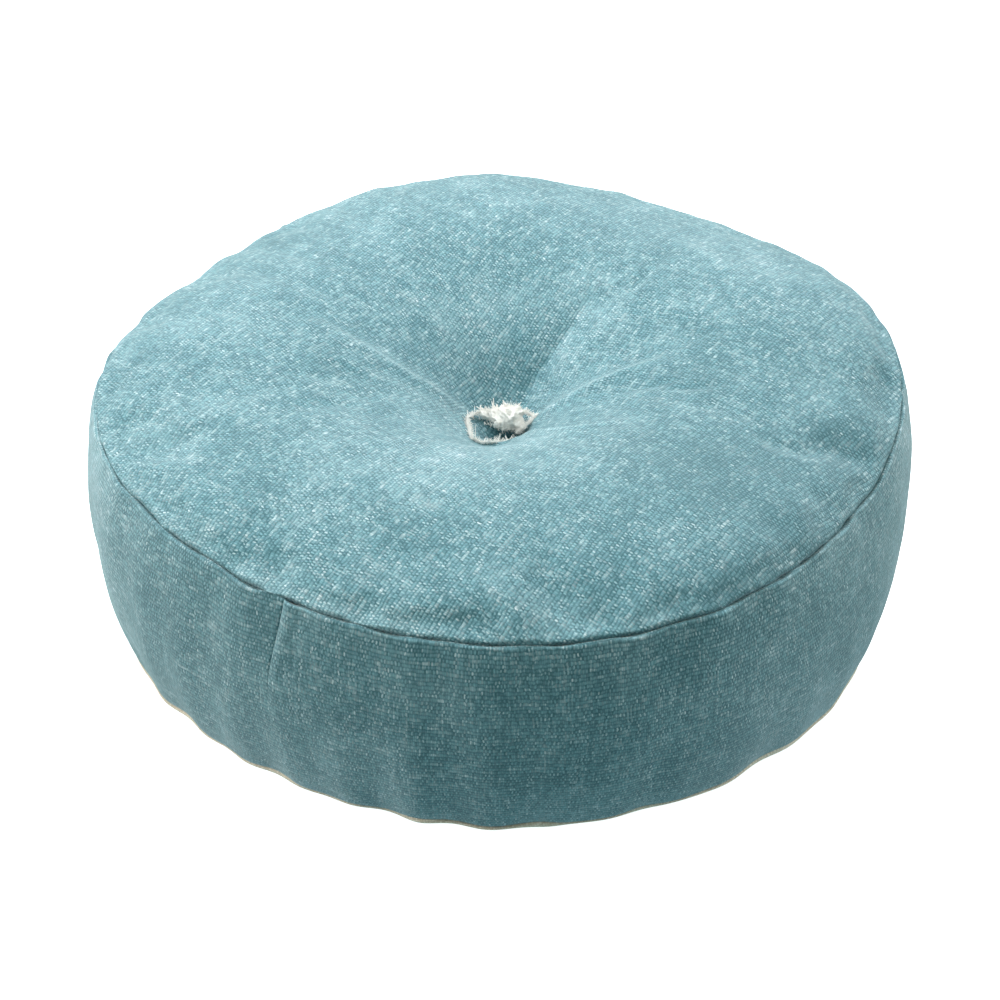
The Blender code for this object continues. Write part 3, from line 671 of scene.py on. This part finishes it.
# the loose cover settles over the filling, held at the tie and at the seam
coarse_r, coarse_c = np.linspace(0.05, 1.0, 76), np.linspace(0, TAU, 360, endpoint=False)
CA, CR = np.meshgrid(coarse_c, coarse_r)
CP, _ = top_point(CA, CR)
pins = np.clip(np.maximum(smooth((0.16 - CR) / 0.08), smooth((CR - 0.985) / 0.012)) + 0.05, 0, 1)
moved = settle(CP, pins, True)
moved = moved - 0.8 * blur(moved, 60, True)
moved *= (smooth((1.0 - CR) / 0.05) * smooth((CR - 0.20) / 0.22))[..., None]
print("SETTLED top", np.abs(moved).max() / MM, np.linalg.norm(moved, axis=-1).mean() / MM)
P = P + spread(blur(moved, 1, True), coarse_r, coarse_c, rows, cols, True)
arc = np.zeros(P.shape[:2])
arc[0] = rows[0] * SEAM_R
arc[1:] = arc[0] + np.cumsum(np.linalg.norm(np.diff(P, axis=0), axis=2), axis=0)
UV = np.stack([arc * np.cos(A), arc * np.sin(A)], -1)
# the allowance turned in under the seam
last = P[-1]
out = np.stack([np.cos(cols), np.sin(cols), np.zeros_like(cols)], -1)
tuck = [last + out * (-0.9 * MM) + np.array([0, 0, -1.6 * MM]), last + out * (-1.6 * MM) + np.array([0, 0, -7.0 * MM])]
P = np.concatenate([P, np.stack(tuck)], 0)
W = np.concatenate([W, W[-1:], W[-1:]], 0)
arc_end = arc[-1:]
extra = np.stack([(arc_end + d) for d in (2 * MM, 8 * MM)], 0).reshape(2, -1)
UV = np.concatenate([UV, np.stack([extra * np.cos(A[:2]), extra * np.sin(A[:2])], -1)], 0)
top = grid("top_panel_cloth", P, UV, W, wrap=True)
dress(top, top_cloth)
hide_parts("top_panel")


def join_lean(t):
    return -0.022 * smooth(t / 0.42) + 0.014 * smooth((t - 0.5) / 0.5)


def band_sheet(name, start, stop, t0=0.0, t1=1.0, fine=(), join_at=None, join_side=0, window=0, zip_ends=False):
    angles = uneven(start, stop, TAU / 720, fine)
    down = np.linspace(0, 1, 64)
    down = t0 + (t1 - t0) * (0.5 - 0.5 * np.cos(down * math.pi) * (0.72 + 0.28 * np.abs(np.cos(down * math.pi))))
    A, T = np.meshgrid(angles, down)
    if join_at is not None:
        # the join leans as it runs down
        A = A + join_lean(T) * np.exp(-(((A - join_at) / 0.12) ** 2))
    r, z, wear_and_painted_light = band_point(A, T)
    if join_at is not None:
        d = (A - join_at - join_lean(T)) * SEAM_R / MM * join_side
        strength = 0.12 + 0.88 * smooth(1.05 - 1.5 * T)
        if join_side > 0:
            r = r + MM * strength * (-1.0 * np.exp(-d / 0.9) + 1.0 * np.exp(-(((d - 4.4) / 3.8) ** 2)))
            # painted highlight: a pale stripe down the right-hand side of the join
            wear_and_painted_light = np.clip(wear_and_painted_light + 0.35 * strength * np.exp(-(((d - 2.8) / 1.8) ** 2)), 0, 1)
        else:
            r = r - MM * strength * (1.0 * np.exp(-d / 0.9) + 0.9 * np.exp(-(((d - 2.0) / 6.5) ** 2)))
    if window:
        # the strip is folded under along the zip
        gap = np.abs(z - ZIP_Z) / MM - HALF_WINDOW / MM
        r = r - MM * (1.6 * np.exp(-((gap / 0.9) ** 1.3)) - 0.35 * np.exp(-(((gap - 3.0) / 1.6) ** 2)))
        r = r - MM * 0.5 * np.exp(-(((gap - 2.4) / 0.7) ** 2))
        wear_and_painted_light = np.clip(wear_and_painted_light + 0.6 * np.exp(-(((gap - 1.0) / 1.0) ** 2)), 0, 1)
    if zip_ends:
        for place in (ZIP_A, ZIP_B):
            d = (A - place) * SEAM_R / MM
            r = r - MM * 2.0 * np.exp(-((d / 1.3) ** 2))
    P = np.stack([r * np.cos(A), r * np.sin(A), z], -1)
    down_mm = np.concatenate([np.zeros((1, A.shape[1])), np.cumsum(np.linalg.norm(np.diff(P, axis=0), axis=2), axis=0)])
    down_mm = down_mm.mean(axis=1, keepdims=True) + t0 * (SEAM_Z - LOW_Z) + np.zeros_like(A)
    UV = np.stack([A * (SEAM_R + BULGE), down_mm], -1)
    obj = grid(name, P, UV, wear_and_painted_light)
    dress(obj, band_cloth)
    return obj


def t_at(z):
    return (SEAM_Z - z) / (SEAM_Z - LOW_Z)


band_r = band_sheet("band_right_cloth", JOIN - TAU, ZIP_A, fine=(JOIN,), join_at=JOIN - TAU, join_side=1, zip_ends=True)
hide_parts("band_right")
band_l = band_sheet("band_left_cloth", ZIP_B, JOIN, fine=(JOIN,), join_at=JOIN, join_side=-1, zip_ends=True)
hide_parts("band_left")
band_u = band_sheet("zip_band_upper_cloth", ZIP_A, ZIP_B, 0.0, t_at(ZIP_Z + HALF_WINDOW), window=1, zip_ends=True)
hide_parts("zip_band_upper")
band_d = band_sheet("zip_band_lower_cloth", ZIP_A, ZIP_B, t_at(ZIP_Z - HALF_WINDOW), 1.0, window=1, zip_ends=True)
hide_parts("zip_band_lower")

# bottom panel
BELLY = spline(np.array([
    (0.0, 20.0), (8.0, 19.4), (18.0, 15.0), (34.0, 7.6), (50.0, 2.0), (62.0, 0.2), (72.0, 0.0), (120.0, 0.0), (240.0, 0.0),
]))
# the edge rolls out from the seam and under: distance along the cloth mm, reach beyond the seam mm, share of the seam's height
ROLL = np.array([
    (0.0, -0.9, 1.00), (0.5, -0.1, 0.96), (1.0, 0.55, 0.84), (1.6, 0.95, 0.62), (2.2, 1.0, 0.40), (2.8, 0.75, 0.20),
    (3.6, 0.1, 0.06), (4.6, -0.9, 0.0), (6.0, -2.3, 0.0),
])
along_b = np.concatenate([np.linspace(0.0, 6.0, 22)[:-1], np.linspace(6.0, 40.0, 18)[:-1], np.linspace(40.0, 148.0, 34)[:-1], np.linspace(148.0, 214.0, 40)])
cols_b = np.linspace(0, TAU, 720, endpoint=False)
A, S = np.meshgrid(cols_b, along_b)
lr, lz = low_r(A), low_z(A)
edge = S
reach = np.where(S < 6.0, np.interp(S, ROLL[:, 0], ROLL[:, 1]), -2.3 - (S - 6.0))
share = np.interp(S, ROLL[:, 0], ROLL[:, 2])
r_mm = LOW_R / MM + reach - 0.70 + 1.05 * smooth(0.5 + 0.9 * np.sin(7.0 * A + 0.4) + 0.8 * np.sin(12.0 * A + 2.0)) * smooth((8.0 - S) / 4.0)
sc = scallop(A)
out_mm = (lr - LOW_R) / MM * smooth(1.0 - S / 90.0) + (1.7 * sc - 0.9) * np.exp(-S / 9.0)
r_mm = np.maximum(r_mm + out_mm, 2.2)
zb = (lz + 0.5 * MM) * share + BELLY(r_mm) * MM
pucker = 0.9 * waves(A, 9, 24, 71, 0.2) * np.exp(-(((r_mm - 40.0) / 22.0) ** 2))
zb = np.where(S > 8.0, np.maximum(zb + pucker * MM * smooth(zb / (1.5 * MM)), 0.0), zb)
P = np.stack([r_mm * MM * np.cos(A), r_mm * MM * np.sin(A), zb], -1)
UV = np.stack([(LOW_R / MM - S) * MM * np.cos(A), (LOW_R / MM - S) * MM * np.sin(A)], -1)
base = grid("bottom_panel_cloth", P, UV, None, wrap=True)
dress(base, ecru_cloth)
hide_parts("bottom_panel")

# the calico inner case, which follows the cover a little inside it
def inset_rows():
    rows_i = np.concatenate([np.linspace(0.03, 0.16, 8)[:-1], np.linspace(0.16, 0.955, 30)])
    cols_i = np.linspace(0, TAU, 180, endpoint=False)
    a_i, rho_i = np.meshgrid(cols_i, rows_i)
    top_i, _ = top_point(a_i, rho_i)
    top_i[..., 2] -= 4.2 * MM
    down_i = np.linspace(0.07, 0.93, 24)
    a_j, t_j = np.meshgrid(cols_i, down_i)
    r_j, z_j, _ = band_point(a_j, t_j)
    r_j = r_j - 5.6 * MM
    side_i = np.stack([r_j * np.cos(a_j), r_j * np.sin(a_j), z_j], -1)
    r_k = np.linspace(LOW_R / MM - 6.0, 4.0, 40)[:, None] + np.zeros((1, len(cols_i)))
    z_k = BELLY(r_k) * MM + 3.0 * MM + 4.0 * MM * smooth((r_k - 196.0) / 12.0)
    low_i = np.stack([r_k * MM * np.cos(cols_i), r_k * MM * np.sin(cols_i), z_k], -1)
    return top_i, side_i, low_i


inner_rows = dict(zip(("top", "band", "bottom"), inset_rows()))
inner_pieces = []
for part, rows_of in inner_rows.items():
    piece = grid(f"inner_case_{part}_cloth", rows_of, None, None, wrap=True)
    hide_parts(f"inner_case_{part}")
    inner_pieces.append(piece)

# ------------------------------------------------------------------ tuft
def surface_z(x_mm, y_mm):
    """Height in mm of the top cover over a plan point."""
    x_mm, y_mm = np.asarray(x_mm, float), np.asarray(y_mm, float)
    made, _ = top_point(np.arctan2(y_mm, x_mm), np.hypot(x_mm, y_mm) / (SEAM_R / MM))
    return made[..., 2] / MM


def resample(points, step):
    points = np.asarray(points, float)
    gone = np.concatenate([[0.0], np.cumsum(np.linalg.norm(np.diff(points, axis=0), axis=1))])
    count = max(3, int(gone[-1] / step) + 1)
    at = np.linspace(0, gone[-1], count)
    rough = np.stack([np.interp(at, gone, points[:, k]) for k in range(3)], -1)
    for _ in range(3):
        rough[1:-1] = 0.25 * rough[:-2] + 0.5 * rough[1:-1] + 0.25 * rough[2:]
    return rough


def crumpled(centre, size, seed, rings=40, spokes=56, rough=1.0):
    """A wad of cotton cloth: a closed ball creased by ridged noise. Points in mm."""
    theta = np.linspace(0.02, math.pi - 0.02, rings)
    phi = np.linspace(0, TAU, spokes, endpoint=False)
    T, F = np.meshgrid(theta, phi, indexing="ij")
    n = np.stack([np.sin(T) * np.cos(F), np.sin(T) * np.sin(F), np.cos(T)], -1)
    grow = np.zeros(T.shape)
    for i in range(rings):
        for j in range(spokes):
            q = Vector(n[i, j] * np.array(size)) * 0.24 + Vector((seed * 3.1, seed * 1.7, 0.0))
            ridge = 1.0 - abs(mnoise.noise(q)) * 2.2
            ridge2 = 1.0 - abs(mnoise.noise(q * 2.3)) * 2.2
            fine = mnoise.noise(q * 6.5)
            grow[i, j] = 1.25 * ridge + 0.7 * ridge2 + 0.42 * fine
    return np.array(centre) + n * np.array(size) + n * (rough * (grow[..., None] - 0.8))


def merge_grids(name, sheets):
    verts, faces, base = [], [], 0
    for P in sheets:
        nj, ni = P.shape[:2]
        verts.extend((P.reshape(-1, 3) * MM).tolist())
        for j in range(nj - 1):
            for i in range(ni):
                i2 = (i + 1) % ni
                faces.append((base + j * ni + i, base + (j + 1) * ni + i, base + (j + 1) * ni + i2, base + j * ni + i2))
        faces.append(tuple(base + i for i in range(ni)))
        faces.append(tuple(base + (nj - 1) * ni + i for i in reversed(range(ni))))
        base += nj * ni
    mesh = bpy.data.meshes.new(name)
    mesh.from_pydata(verts, [], faces)
    bm = bmesh.new()
    bm.from_mesh(mesh)
    bmesh.ops.recalc_face_normals(bm, faces=bm.faces)
    bm.to_mesh(mesh)
    bm.free()
    mesh.shade_smooth()
    obj = bpy.data.objects.new(name, mesh)
    bpy.context.scene.collection.objects.link(obj)
    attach(obj, "cushion")
    return obj


WADS = [
    ((3.4, -2.0, 94.8), (6.4, 5.6, 5.6), 1), ((8.4, -3.6, 93.8), (4.0, 3.8, 3.8), 2), ((-1.8, 1.2, 94.4), (4.6, 3.8, 3.6), 3),
    ((-6.8, 3.0, 94.0), (4.4, 2.7, 2.5), 4), ((3.2, 2.0, 97.0), (4.2, 3.4, 2.9), 5), ((8.6, 0.4, 96.6), (3.2, 3.0, 3.0), 6),
    ((1.0, -5.2, 93.0), (4.2, 2.6, 2.4), 7), ((9.6, -7.4, 92.4), (2.4, 2.6, 2.2), 8),
]
wads = [crumpled(c, r, k) for c, r, k in WADS]
tuft = merge_grids("tuft_cotton_cloth", wads)

made = np.random.default_rng(77)


def strand(path, yarns, thick, spread, seed, turns=0.35):
    """A loose strand of several yarns twisted round a path in mm; returns lines in metres and radii."""
    path = resample(path, 0.7)
    draw = np.random.default_rng(seed)
    tang = np.gradient(path, axis=0)
    tang /= np.linalg.norm(tang, axis=1)[:, None]
    side = np.cross(tang, (0.0, 0.0, 1.0))
    side /= np.linalg.norm(side, axis=1)[:, None] + 1e-9
    upward = np.cross(side, tang)
    gone = np.concatenate([[0.0], np.cumsum(np.linalg.norm(np.diff(path, axis=0), axis=1))])
    lines, radii = [], []
    for k in range(yarns):
        phase = TAU * k / yarns + turns * gone + 0.7 * np.cumsum(draw.normal(0, 0.25, len(path)))
        off = spread * (0.75 + 0.35 * np.sin(0.9 * gone + draw.uniform(0, TAU)))
        a = path + side * (off * np.cos(phase))[:, None] + upward * (off * np.sin(phase))[:, None]
        a += draw.normal(0, 0.15, a.shape)
        lines.append(a * MM)
        radii.append(thick * MM * np.clip(draw.normal(1.0, 0.16, len(path)), 0.5, 1.5))
    return lines, radii


def fibres(roots, ways, longest, thick, seed, curl=0.5):
    """Thin fibres from roots (mm) along ways, each curling off at random."""
    draw = np.random.default_rng(seed)
    lines, radii = [], []
    for root, way in zip(roots, ways):
        way = way / (np.linalg.norm(way) + 1e-9) + draw.normal(0, 0.35, 3)
        long = longest * draw.uniform(0.35, 1.0)
        bend = draw.normal(0, curl, 3)
        u = np.linspace(0, 1, 6)[:, None]
        line = root + way * u * long + bend * (u ** 2) * long * 0.55
        lines.append(line * MM)
        radii.append(thick * MM * (1.0 - 0.55 * u[:, 0] ** 2))
    return lines, radii


def on_cover(plan, lift):
    plan = np.asarray(plan, float)
    return np.column_stack([plan, surface_z(plan[:, 0], plan[:, 1]) + lift])


LOOP = on_cover([(-15.8, 0.6), (-18.2, -4.2), (-18.6, -9.6), (-17.8, -15.4), (-16.8, -21.6), (-15.6, -28.0)], 1.0)
LOOP = np.concatenate([[(-4.0, 3.6, 95.0), (-8.4, 4.6, 95.2), (-12.6, 3.9, 94.8)], LOOP])
LIP = on_cover([(-15.6, -28.0), (-11.0, -27.4), (-6.2, -25.2), (-2.0, -22.6), (1.4, -19.4), (4.4, -18.8), (6.6, -15.4), (8.4, -12.4)], 0.9)
RIGHT_A = np.array([(9.0, 4.2, 95.6), (12.8, 3.6, 95.4), (15.8, 0.6, 95.6), (18.2, -3.4, 96.6)])
RIGHT_B = np.array([(18.4, -3.2, 96.8), (15.6, -6.4, 95.4), (12.2, -8.6, 93.6), (8.4, -12.0, 91.8)])
lines, radii = [], []
for path, yarns, thick, spread, seed in (
    (LOOP, 4, 0.27, 0.62, 1), (LIP, 3, 0.24, 0.55, 2), (RIGHT_A, 3, 0.26, 0.55, 3), (RIGHT_B, 3, 0.26, 0.55, 4),
):
    more, size = strand(path, yarns, thick, spread, seed)
    lines += more
    radii += size
    dense = resample(path, 0.25)
    pick = np.repeat(dense, 3, axis=0) + made.normal(0, 0.35, (3 * len(dense), 3))
    more, size = fibres(pick, made.normal(0, 1, pick.shape) + np.array([0, 0, 0.6]), 2.0, 0.12, 10 + seed, 0.9)
    lines += more
    radii += size
    # cut ends of yarn that stand out from the edge of the opening
    ends = np.repeat(resample(path, 0.7), 2, axis=0)
    ways = made.normal(0, 0.75, ends.shape) + np.array([0.0, 0.35, 0.75])
    more, size = fibres(ends + made.normal(0, 0.3, ends.shape), ways, 2.3, 0.22, 20 + seed, 1.1)
    lines += more
    radii += size
# tips that stand up behind, and the combed ends that hang over the hollow
TIPS = [((-10.6, 4.4, 95.0), (-0.6, 1.2, 3.9), 7), ((-9.2, 4.0, 95.0), (-1.8, 0.4, 2.8), 4), ((-4.4, 3.4, 96.0), (0.3, 1.6, 3.4), 7),
        ((-2.6, 3.2, 96.6), (0.6, 1.0, 2.6), 5), ((7.4, 2.0, 98.4), (0.9, 1.2, 2.6), 6), ((2.0, 3.0, 100.4), (-0.4, 0.8, 1.8), 5),
        ((12.0, 1.4, 95.6), (1.6, 0.6, 2.2), 5), ((18.0, -3.2, 96.6), (1.6, 1.6, 1.0), 5), ((16.4, -1.0, 96.0), (1.4, -0.8, 1.8), 4)]
for n, (root, way, count) in enumerate(TIPS):
    roots = np.array(root) + made.normal(0, 0.42, (count, 3))
    more, size = fibres(roots, np.tile(way, (count, 1)), 1.1 * float(np.linalg.norm(way)), 0.42, 40 + n, 0.55)
    lines += more
    radii += size
combed = np.column_stack([np.linspace(-9.0, 8.0, 34), -3.0 - 5.6 * smooth((np.linspace(-9.0, 8.0, 34) + 9.0) / 12.0), 92.6 + made.normal(0, 0.5, 34)])
more, size = fibres(combed, np.tile((-0.5, -1.6, -2.2), (34, 1)) + made.normal(0, 0.5, (34, 3)), 1.9, 0.24, 70, 0.35)
lines += more
radii += size
# loose nap all over the wads
nap_roots, nap_ways = [], []
for (centre, size_mm, _), P in zip(WADS, wads):
    flat = P.reshape(-1, 3)
    chosen = flat[made.integers(0, len(flat), 210)]
    nap_roots.append(chosen)
    nap_ways.append(chosen - np.array(centre))
more, size = fibres(np.concatenate(nap_roots), np.concatenate(nap_ways), 1.6, 0.085, 90, 1.4)
lines += more
radii += size
frays = tube_mesh("tuft_frayed_yarns", lines, radii, sides=5)
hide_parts("tuft_puff_top")
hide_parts("tuft_twine")
tuft_pieces = [tuft, frays]

# ------------------------------------------------------------------ stitches
def stitch_row(name, node, where, length, pitch=3.4 * MM, thick=0.28 * MM, gap=0.75 * MM):
    """A row of lockstitches along where(distance), each a short tube that dives into the cloth at both ends."""
    count = max(2, int(length / pitch))
    lines = []
    for k in range(count):
        s0 = length * (k + 0.5) / count
        half = 0.5 * (length / count - gap)
        steps = np.array([-1.0, -0.72, -0.3, 0.3, 0.72, 1.0])
        dive = np.array([-0.55, -0.1, 0.1, 0.1, -0.1, -0.55]) * MM
        lines.append(where(s0 + half * steps, dive))
    obj = tube_mesh(name, lines, thick, sides=5)
    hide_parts(node)
    return obj


def on_top_seam(s, dive):
    a = s / SEAM_R
    deep = 1.35 * MM - dive
    r, z = seam_r(a) - 0.70 * deep, seam_z(a) + 0.2 * MM - 0.70 * deep
    return np.stack([r * np.cos(a), r * np.sin(a), z], -1)


def on_low_seam(s, dive):
    a = s / LOW_R
    r, z = low_r(a) - 0.9 * MM + dive, low_z(a) + 0.15 * MM + np.zeros_like(s)
    return np.stack([r * np.cos(a), r * np.sin(a), z], -1)


def on_band(angle, z):
    """Radius of the plain band surface at an angle and a height."""
    angle, z = np.broadcast_arrays(np.asarray(angle, float), np.asarray(z, float))
    t = (seam_z(angle) - z) / (seam_z(angle) - low_z(angle))
    for _ in range(4):
        r, zz, _ = band_point(angle, np.clip(t, 0.0, 1.0))
        t = t + (zz - z) / (SEAM_Z - LOW_Z)
    return r


def join_row(angle):
    def where(s, dive):
        z = SEAM_Z - 5.0 * MM - s
        a = angle + join_lean((SEAM_Z - z) / (SEAM_Z - LOW_Z)) * (angle == JOIN)
        r = on_band(a, z) - 1.5 * MM + dive
        return np.stack([r * np.cos(a), r * np.sin(a), z], -1)
    return where


def zip_row(offset):
    def where(s, dive):
        a = ZIP_A + 0.015 + s / ZIP_R
        r = on_band(a, np.full_like(s, ZIP_Z + offset)) - 0.25 * MM + dive
        return np.stack([r * np.cos(a), r * np.sin(a), np.full_like(s, ZIP_Z + offset)], -1)
    return where


stitches = [
    stitch_row("top_seam_stitches", "top_seam_thread", on_top_seam, TAU * SEAM_R),
    stitch_row("bottom_seam_stitches", "bottom_seam_thread", on_low_seam, TAU * LOW_R),
    stitch_row("band_join_stitches", "band_join_thread", join_row(JOIN), SEAM_Z - LOW_Z - 10.0 * MM),
    stitch_row("zip_stitches_upper", "zip_stitch_upper", zip_row(HALF_WINDOW + 2.4 * MM), (ZIP_B - ZIP_A - 0.03) * ZIP_R),
    stitch_row("zip_stitches_lower", "zip_stitch_lower", zip_row(-HALF_WINDOW - 2.4 * MM), (ZIP_B - ZIP_A - 0.03) * ZIP_R),
]
for row, angle in (("open", ZIP_A), ("closed", ZIP_B)):
    stitches.append(stitch_row(f"zip_join_{row}_stitches", f"zip_join_thread_{row}_end", join_row(angle), SEAM_Z - LOW_Z - 10.0 * MM))

# ------------------------------------------------------------------ carried-over CAD pieces
calico = plain_fibre("calico", (0.80, 0.75, 0.65), (0.60, 0.54, 0.44), 1400.0, 0.92, 0.06)
wadding = plain_fibre("fibre_wadding", (0.88, 0.87, 0.84), (0.62, 0.61, 0.58), 260.0, 0.97, 0.6, sheen=0.5)
foam = plain_fibre("foam", (0.86, 0.81, 0.66), (0.62, 0.56, 0.42), 700.0, 0.95, 0.3)
cotton = plain_fibre("raw_cotton", (0.99, 0.965, 0.93), (0.91, 0.87, 0.82), 2600.0, 0.96, 0.12, sheen=0.6)
thread = plain_fibre("teal_thread", (0.12, 0.27, 0.31), (0.04, 0.12, 0.15), 3000.0, 0.7, 0.05)
tape = plain_fibre("zip_tape", (0.13, 0.29, 0.33), (0.06, 0.16, 0.19), 2200.0, 0.9, 0.08)
nylon = plain_fibre("zip_nylon", (0.12, 0.29, 0.33), (0.08, 0.21, 0.24), 500.0, 0.42, 0.01, sheen=0.0, specular=0.5)
nickel = plain_fibre("zip_nickel", (0.66, 0.65, 0.62), (0.50, 0.49, 0.47), 900.0, 0.34, 0.01, sheen=0.0, metallic=1.0, specular=0.5)
LOOK = {
    "inner_case": calico, "wadding": wadding, "foam": foam, "tuft": cotton, "zip_tape": tape, "zip_coil": nylon,
    "zip_slider": nickel, "zip_pull": nickel, "zip_stop": nickel,
}
for obj in stitches:
    dress(obj, thread)
for obj in tuft_pieces:
    dress(obj, cotton)
for obj in inner_pieces:
    dress(obj, calico)
for name, obj in nodes.items():
    look = next((m for key, m in LOOK.items() if name.startswith(key)), thread)
    dress(obj, look)

# ------------------------------------------------------------------ stage, light and camera
floor_size = 90.0
bpy.ops.mesh.primitive_plane_add(size=floor_size, location=(0, 0, -0.0004))
floor = bpy.context.object
floor.name = "studio_floor"
t = Tree("studio_floor")
place = t.node("ShaderNodeTexCoord", out=3)
t.put(t.shader.inputs["Base Color"], t.mix(t.noise(place, 3.0, 2.0), (0.90, 0.90, 0.90, 1.0), (0.915, 0.915, 0.915, 1.0)))
t.shader.inputs["Roughness"].default_value = 0.9
t.shader.inputs["Specular IOR Level"].default_value = 0.0
dress(floor, t.material)
floor.visible_diffuse = False
floor.visible_glossy = False
t.shader.inputs["Emission Color"].default_value = (1.0, 1.0, 1.0, 1.0)
t.shader.inputs["Emission Strength"].default_value = 0.82
# a pale backdrop all round, seen by the camera only, so that it adds no light of its own
bpy.ops.mesh.primitive_cylinder_add(vertices=96, radius=7.0, depth=16.0, end_fill_type="NOTHING", location=(0, 0, 7.9))
drop = bpy.context.object
drop.name = "studio_backdrop"
b = Tree("studio_backdrop")
b.put(b.shader.inputs["Base Color"], b.mix(b.noise(b.node("ShaderNodeTexCoord", out=3), 0.2, 2.0), (0.90, 0.90, 0.90, 1.0), (0.915, 0.915, 0.915, 1.0)))
b.shader.inputs["Roughness"].default_value = 1.0
b.shader.inputs["Specular IOR Level"].default_value = 0.0
b.shader.inputs["Emission Color"].default_value = (1.0, 1.0, 1.0, 1.0)
b.shader.inputs["Emission Strength"].default_value = 0.92
dress(drop, b.material)
for ray in ("visible_diffuse", "visible_glossy", "visible_transmission", "visible_shadow"):
    setattr(drop, ray, False)

scene = bpy.context.scene
scene.view_settings.view_transform = "Standard"
scene.view_settings.look = "None"
scene.view_settings.exposure = 0.0
scene.view_settings.gamma = 1.0
world = bpy.data.worlds.new("studio")
scene.world = world
world.use_nodes = True
wt = world.node_tree
wt.nodes.clear()
w_out = wt.nodes.new("ShaderNodeOutputWorld")
w_bg = wt.nodes.new("ShaderNodeBackground")
w_co = wt.nodes.new("ShaderNodeTexCoord")
w_sep = wt.nodes.new("ShaderNodeSeparateXYZ")
w_ramp = wt.nodes.new("ShaderNodeValToRGB")
# seen from the cushion: a cool bounce from below, little at the horizon, a pale ceiling
w_lift = wt.nodes.new("ShaderNodeMapRange")
w_lift.inputs[1].default_value = -1.0
for place, colour in ((0.0, (0.32, 0.55, 0.58)), (0.47, (0.32, 0.55, 0.58)), (0.54, (0.15, 0.15, 0.15)), (0.66, (0.18, 0.18, 0.18)),
                      (0.80, (0.30, 0.30, 0.30)), (0.88, (0.66, 0.70, 0.60))):
    if place == 0.0:
        stop = w_ramp.color_ramp.elements[0]
    elif place == 0.88:
        stop = w_ramp.color_ramp.elements[-1]
    else:
        stop = w_ramp.color_ramp.elements.new(place)
    stop.position = place
    stop.color = (*colour, 1.0)
wt.links.new(w_co.outputs["Generated"], w_sep.inputs[0])
wt.links.new(w_sep.outputs[2], w_lift.inputs[0])
wt.links.new(w_lift.outputs[0], w_ramp.inputs[0])
wt.links.new(w_ramp.outputs[0], w_bg.inputs[0])
wt.links.new(w_bg.outputs[0], w_out.inputs[0])
w_bg.inputs[1].default_value = 1.0


def softbox(name, place, target, size, power, colour=(1, 1, 1)):
    data = bpy.data.lights.new(name, "AREA")
    data.shape = "RECTANGLE"
    data.size, data.size_y = size
    data.energy = power
    data.color = colour
    obj = bpy.data.objects.new(name, data)
    obj.location = place
    obj.rotation_euler = (Vector(target) - Vector(place)).to_track_quat("-Z", "Y").to_euler()
    scene.collection.objects.link(obj)
    return obj


softbox("key_overhead", (-0.35, 0.85, 1.75), (0.0, 0.0, 0.08), (1.5, 1.2), 43.0, (0.92, 1.0, 1.07))
softbox("side_left", (-1.8, -0.1, 0.75), (0.0, 0.0, 0.08), (0.9, 0.9), 26.0, (1.06, 1.0, 0.94))
softbox("side_right", (1.9, 0.25, 0.65), (0.0, 0.0, 0.08), (0.8, 0.8), 16.0)
softbox("back_right", (1.0, 1.7, 1.0), (0.0, 0.0, 0.08), (0.9, 0.9), 12.0, (1.12, 1.0, 0.88))
softbox("back_left", (-1.3, 1.4, 1.1), (0.0, 0.0, 0.08), (0.9, 0.9), 4.0, (1.12, 1.0, 0.88))

camera_data = bpy.data.cameras.new("photo_view")
camera_data.sensor_width = 36.0
camera_data.lens = 2200.0 / 1000.0 * 36.0
camera_data.clip_start, camera_data.clip_end = 0.05, 40.0
camera = bpy.data.objects.new("photo_view", camera_data)
R0 = 0.2138
DIST, RAISE, PITCH = 5.903 * R0, math.radians(39.05), math.radians(37.73)
camera.location = (-0.0007, -DIST * math.cos(RAISE), DIST * math.sin(RAISE))
camera.rotation_euler = (math.pi / 2 - PITCH, 0.0, 0.0)
scene.collection.objects.link(camera)
scene.camera = camera
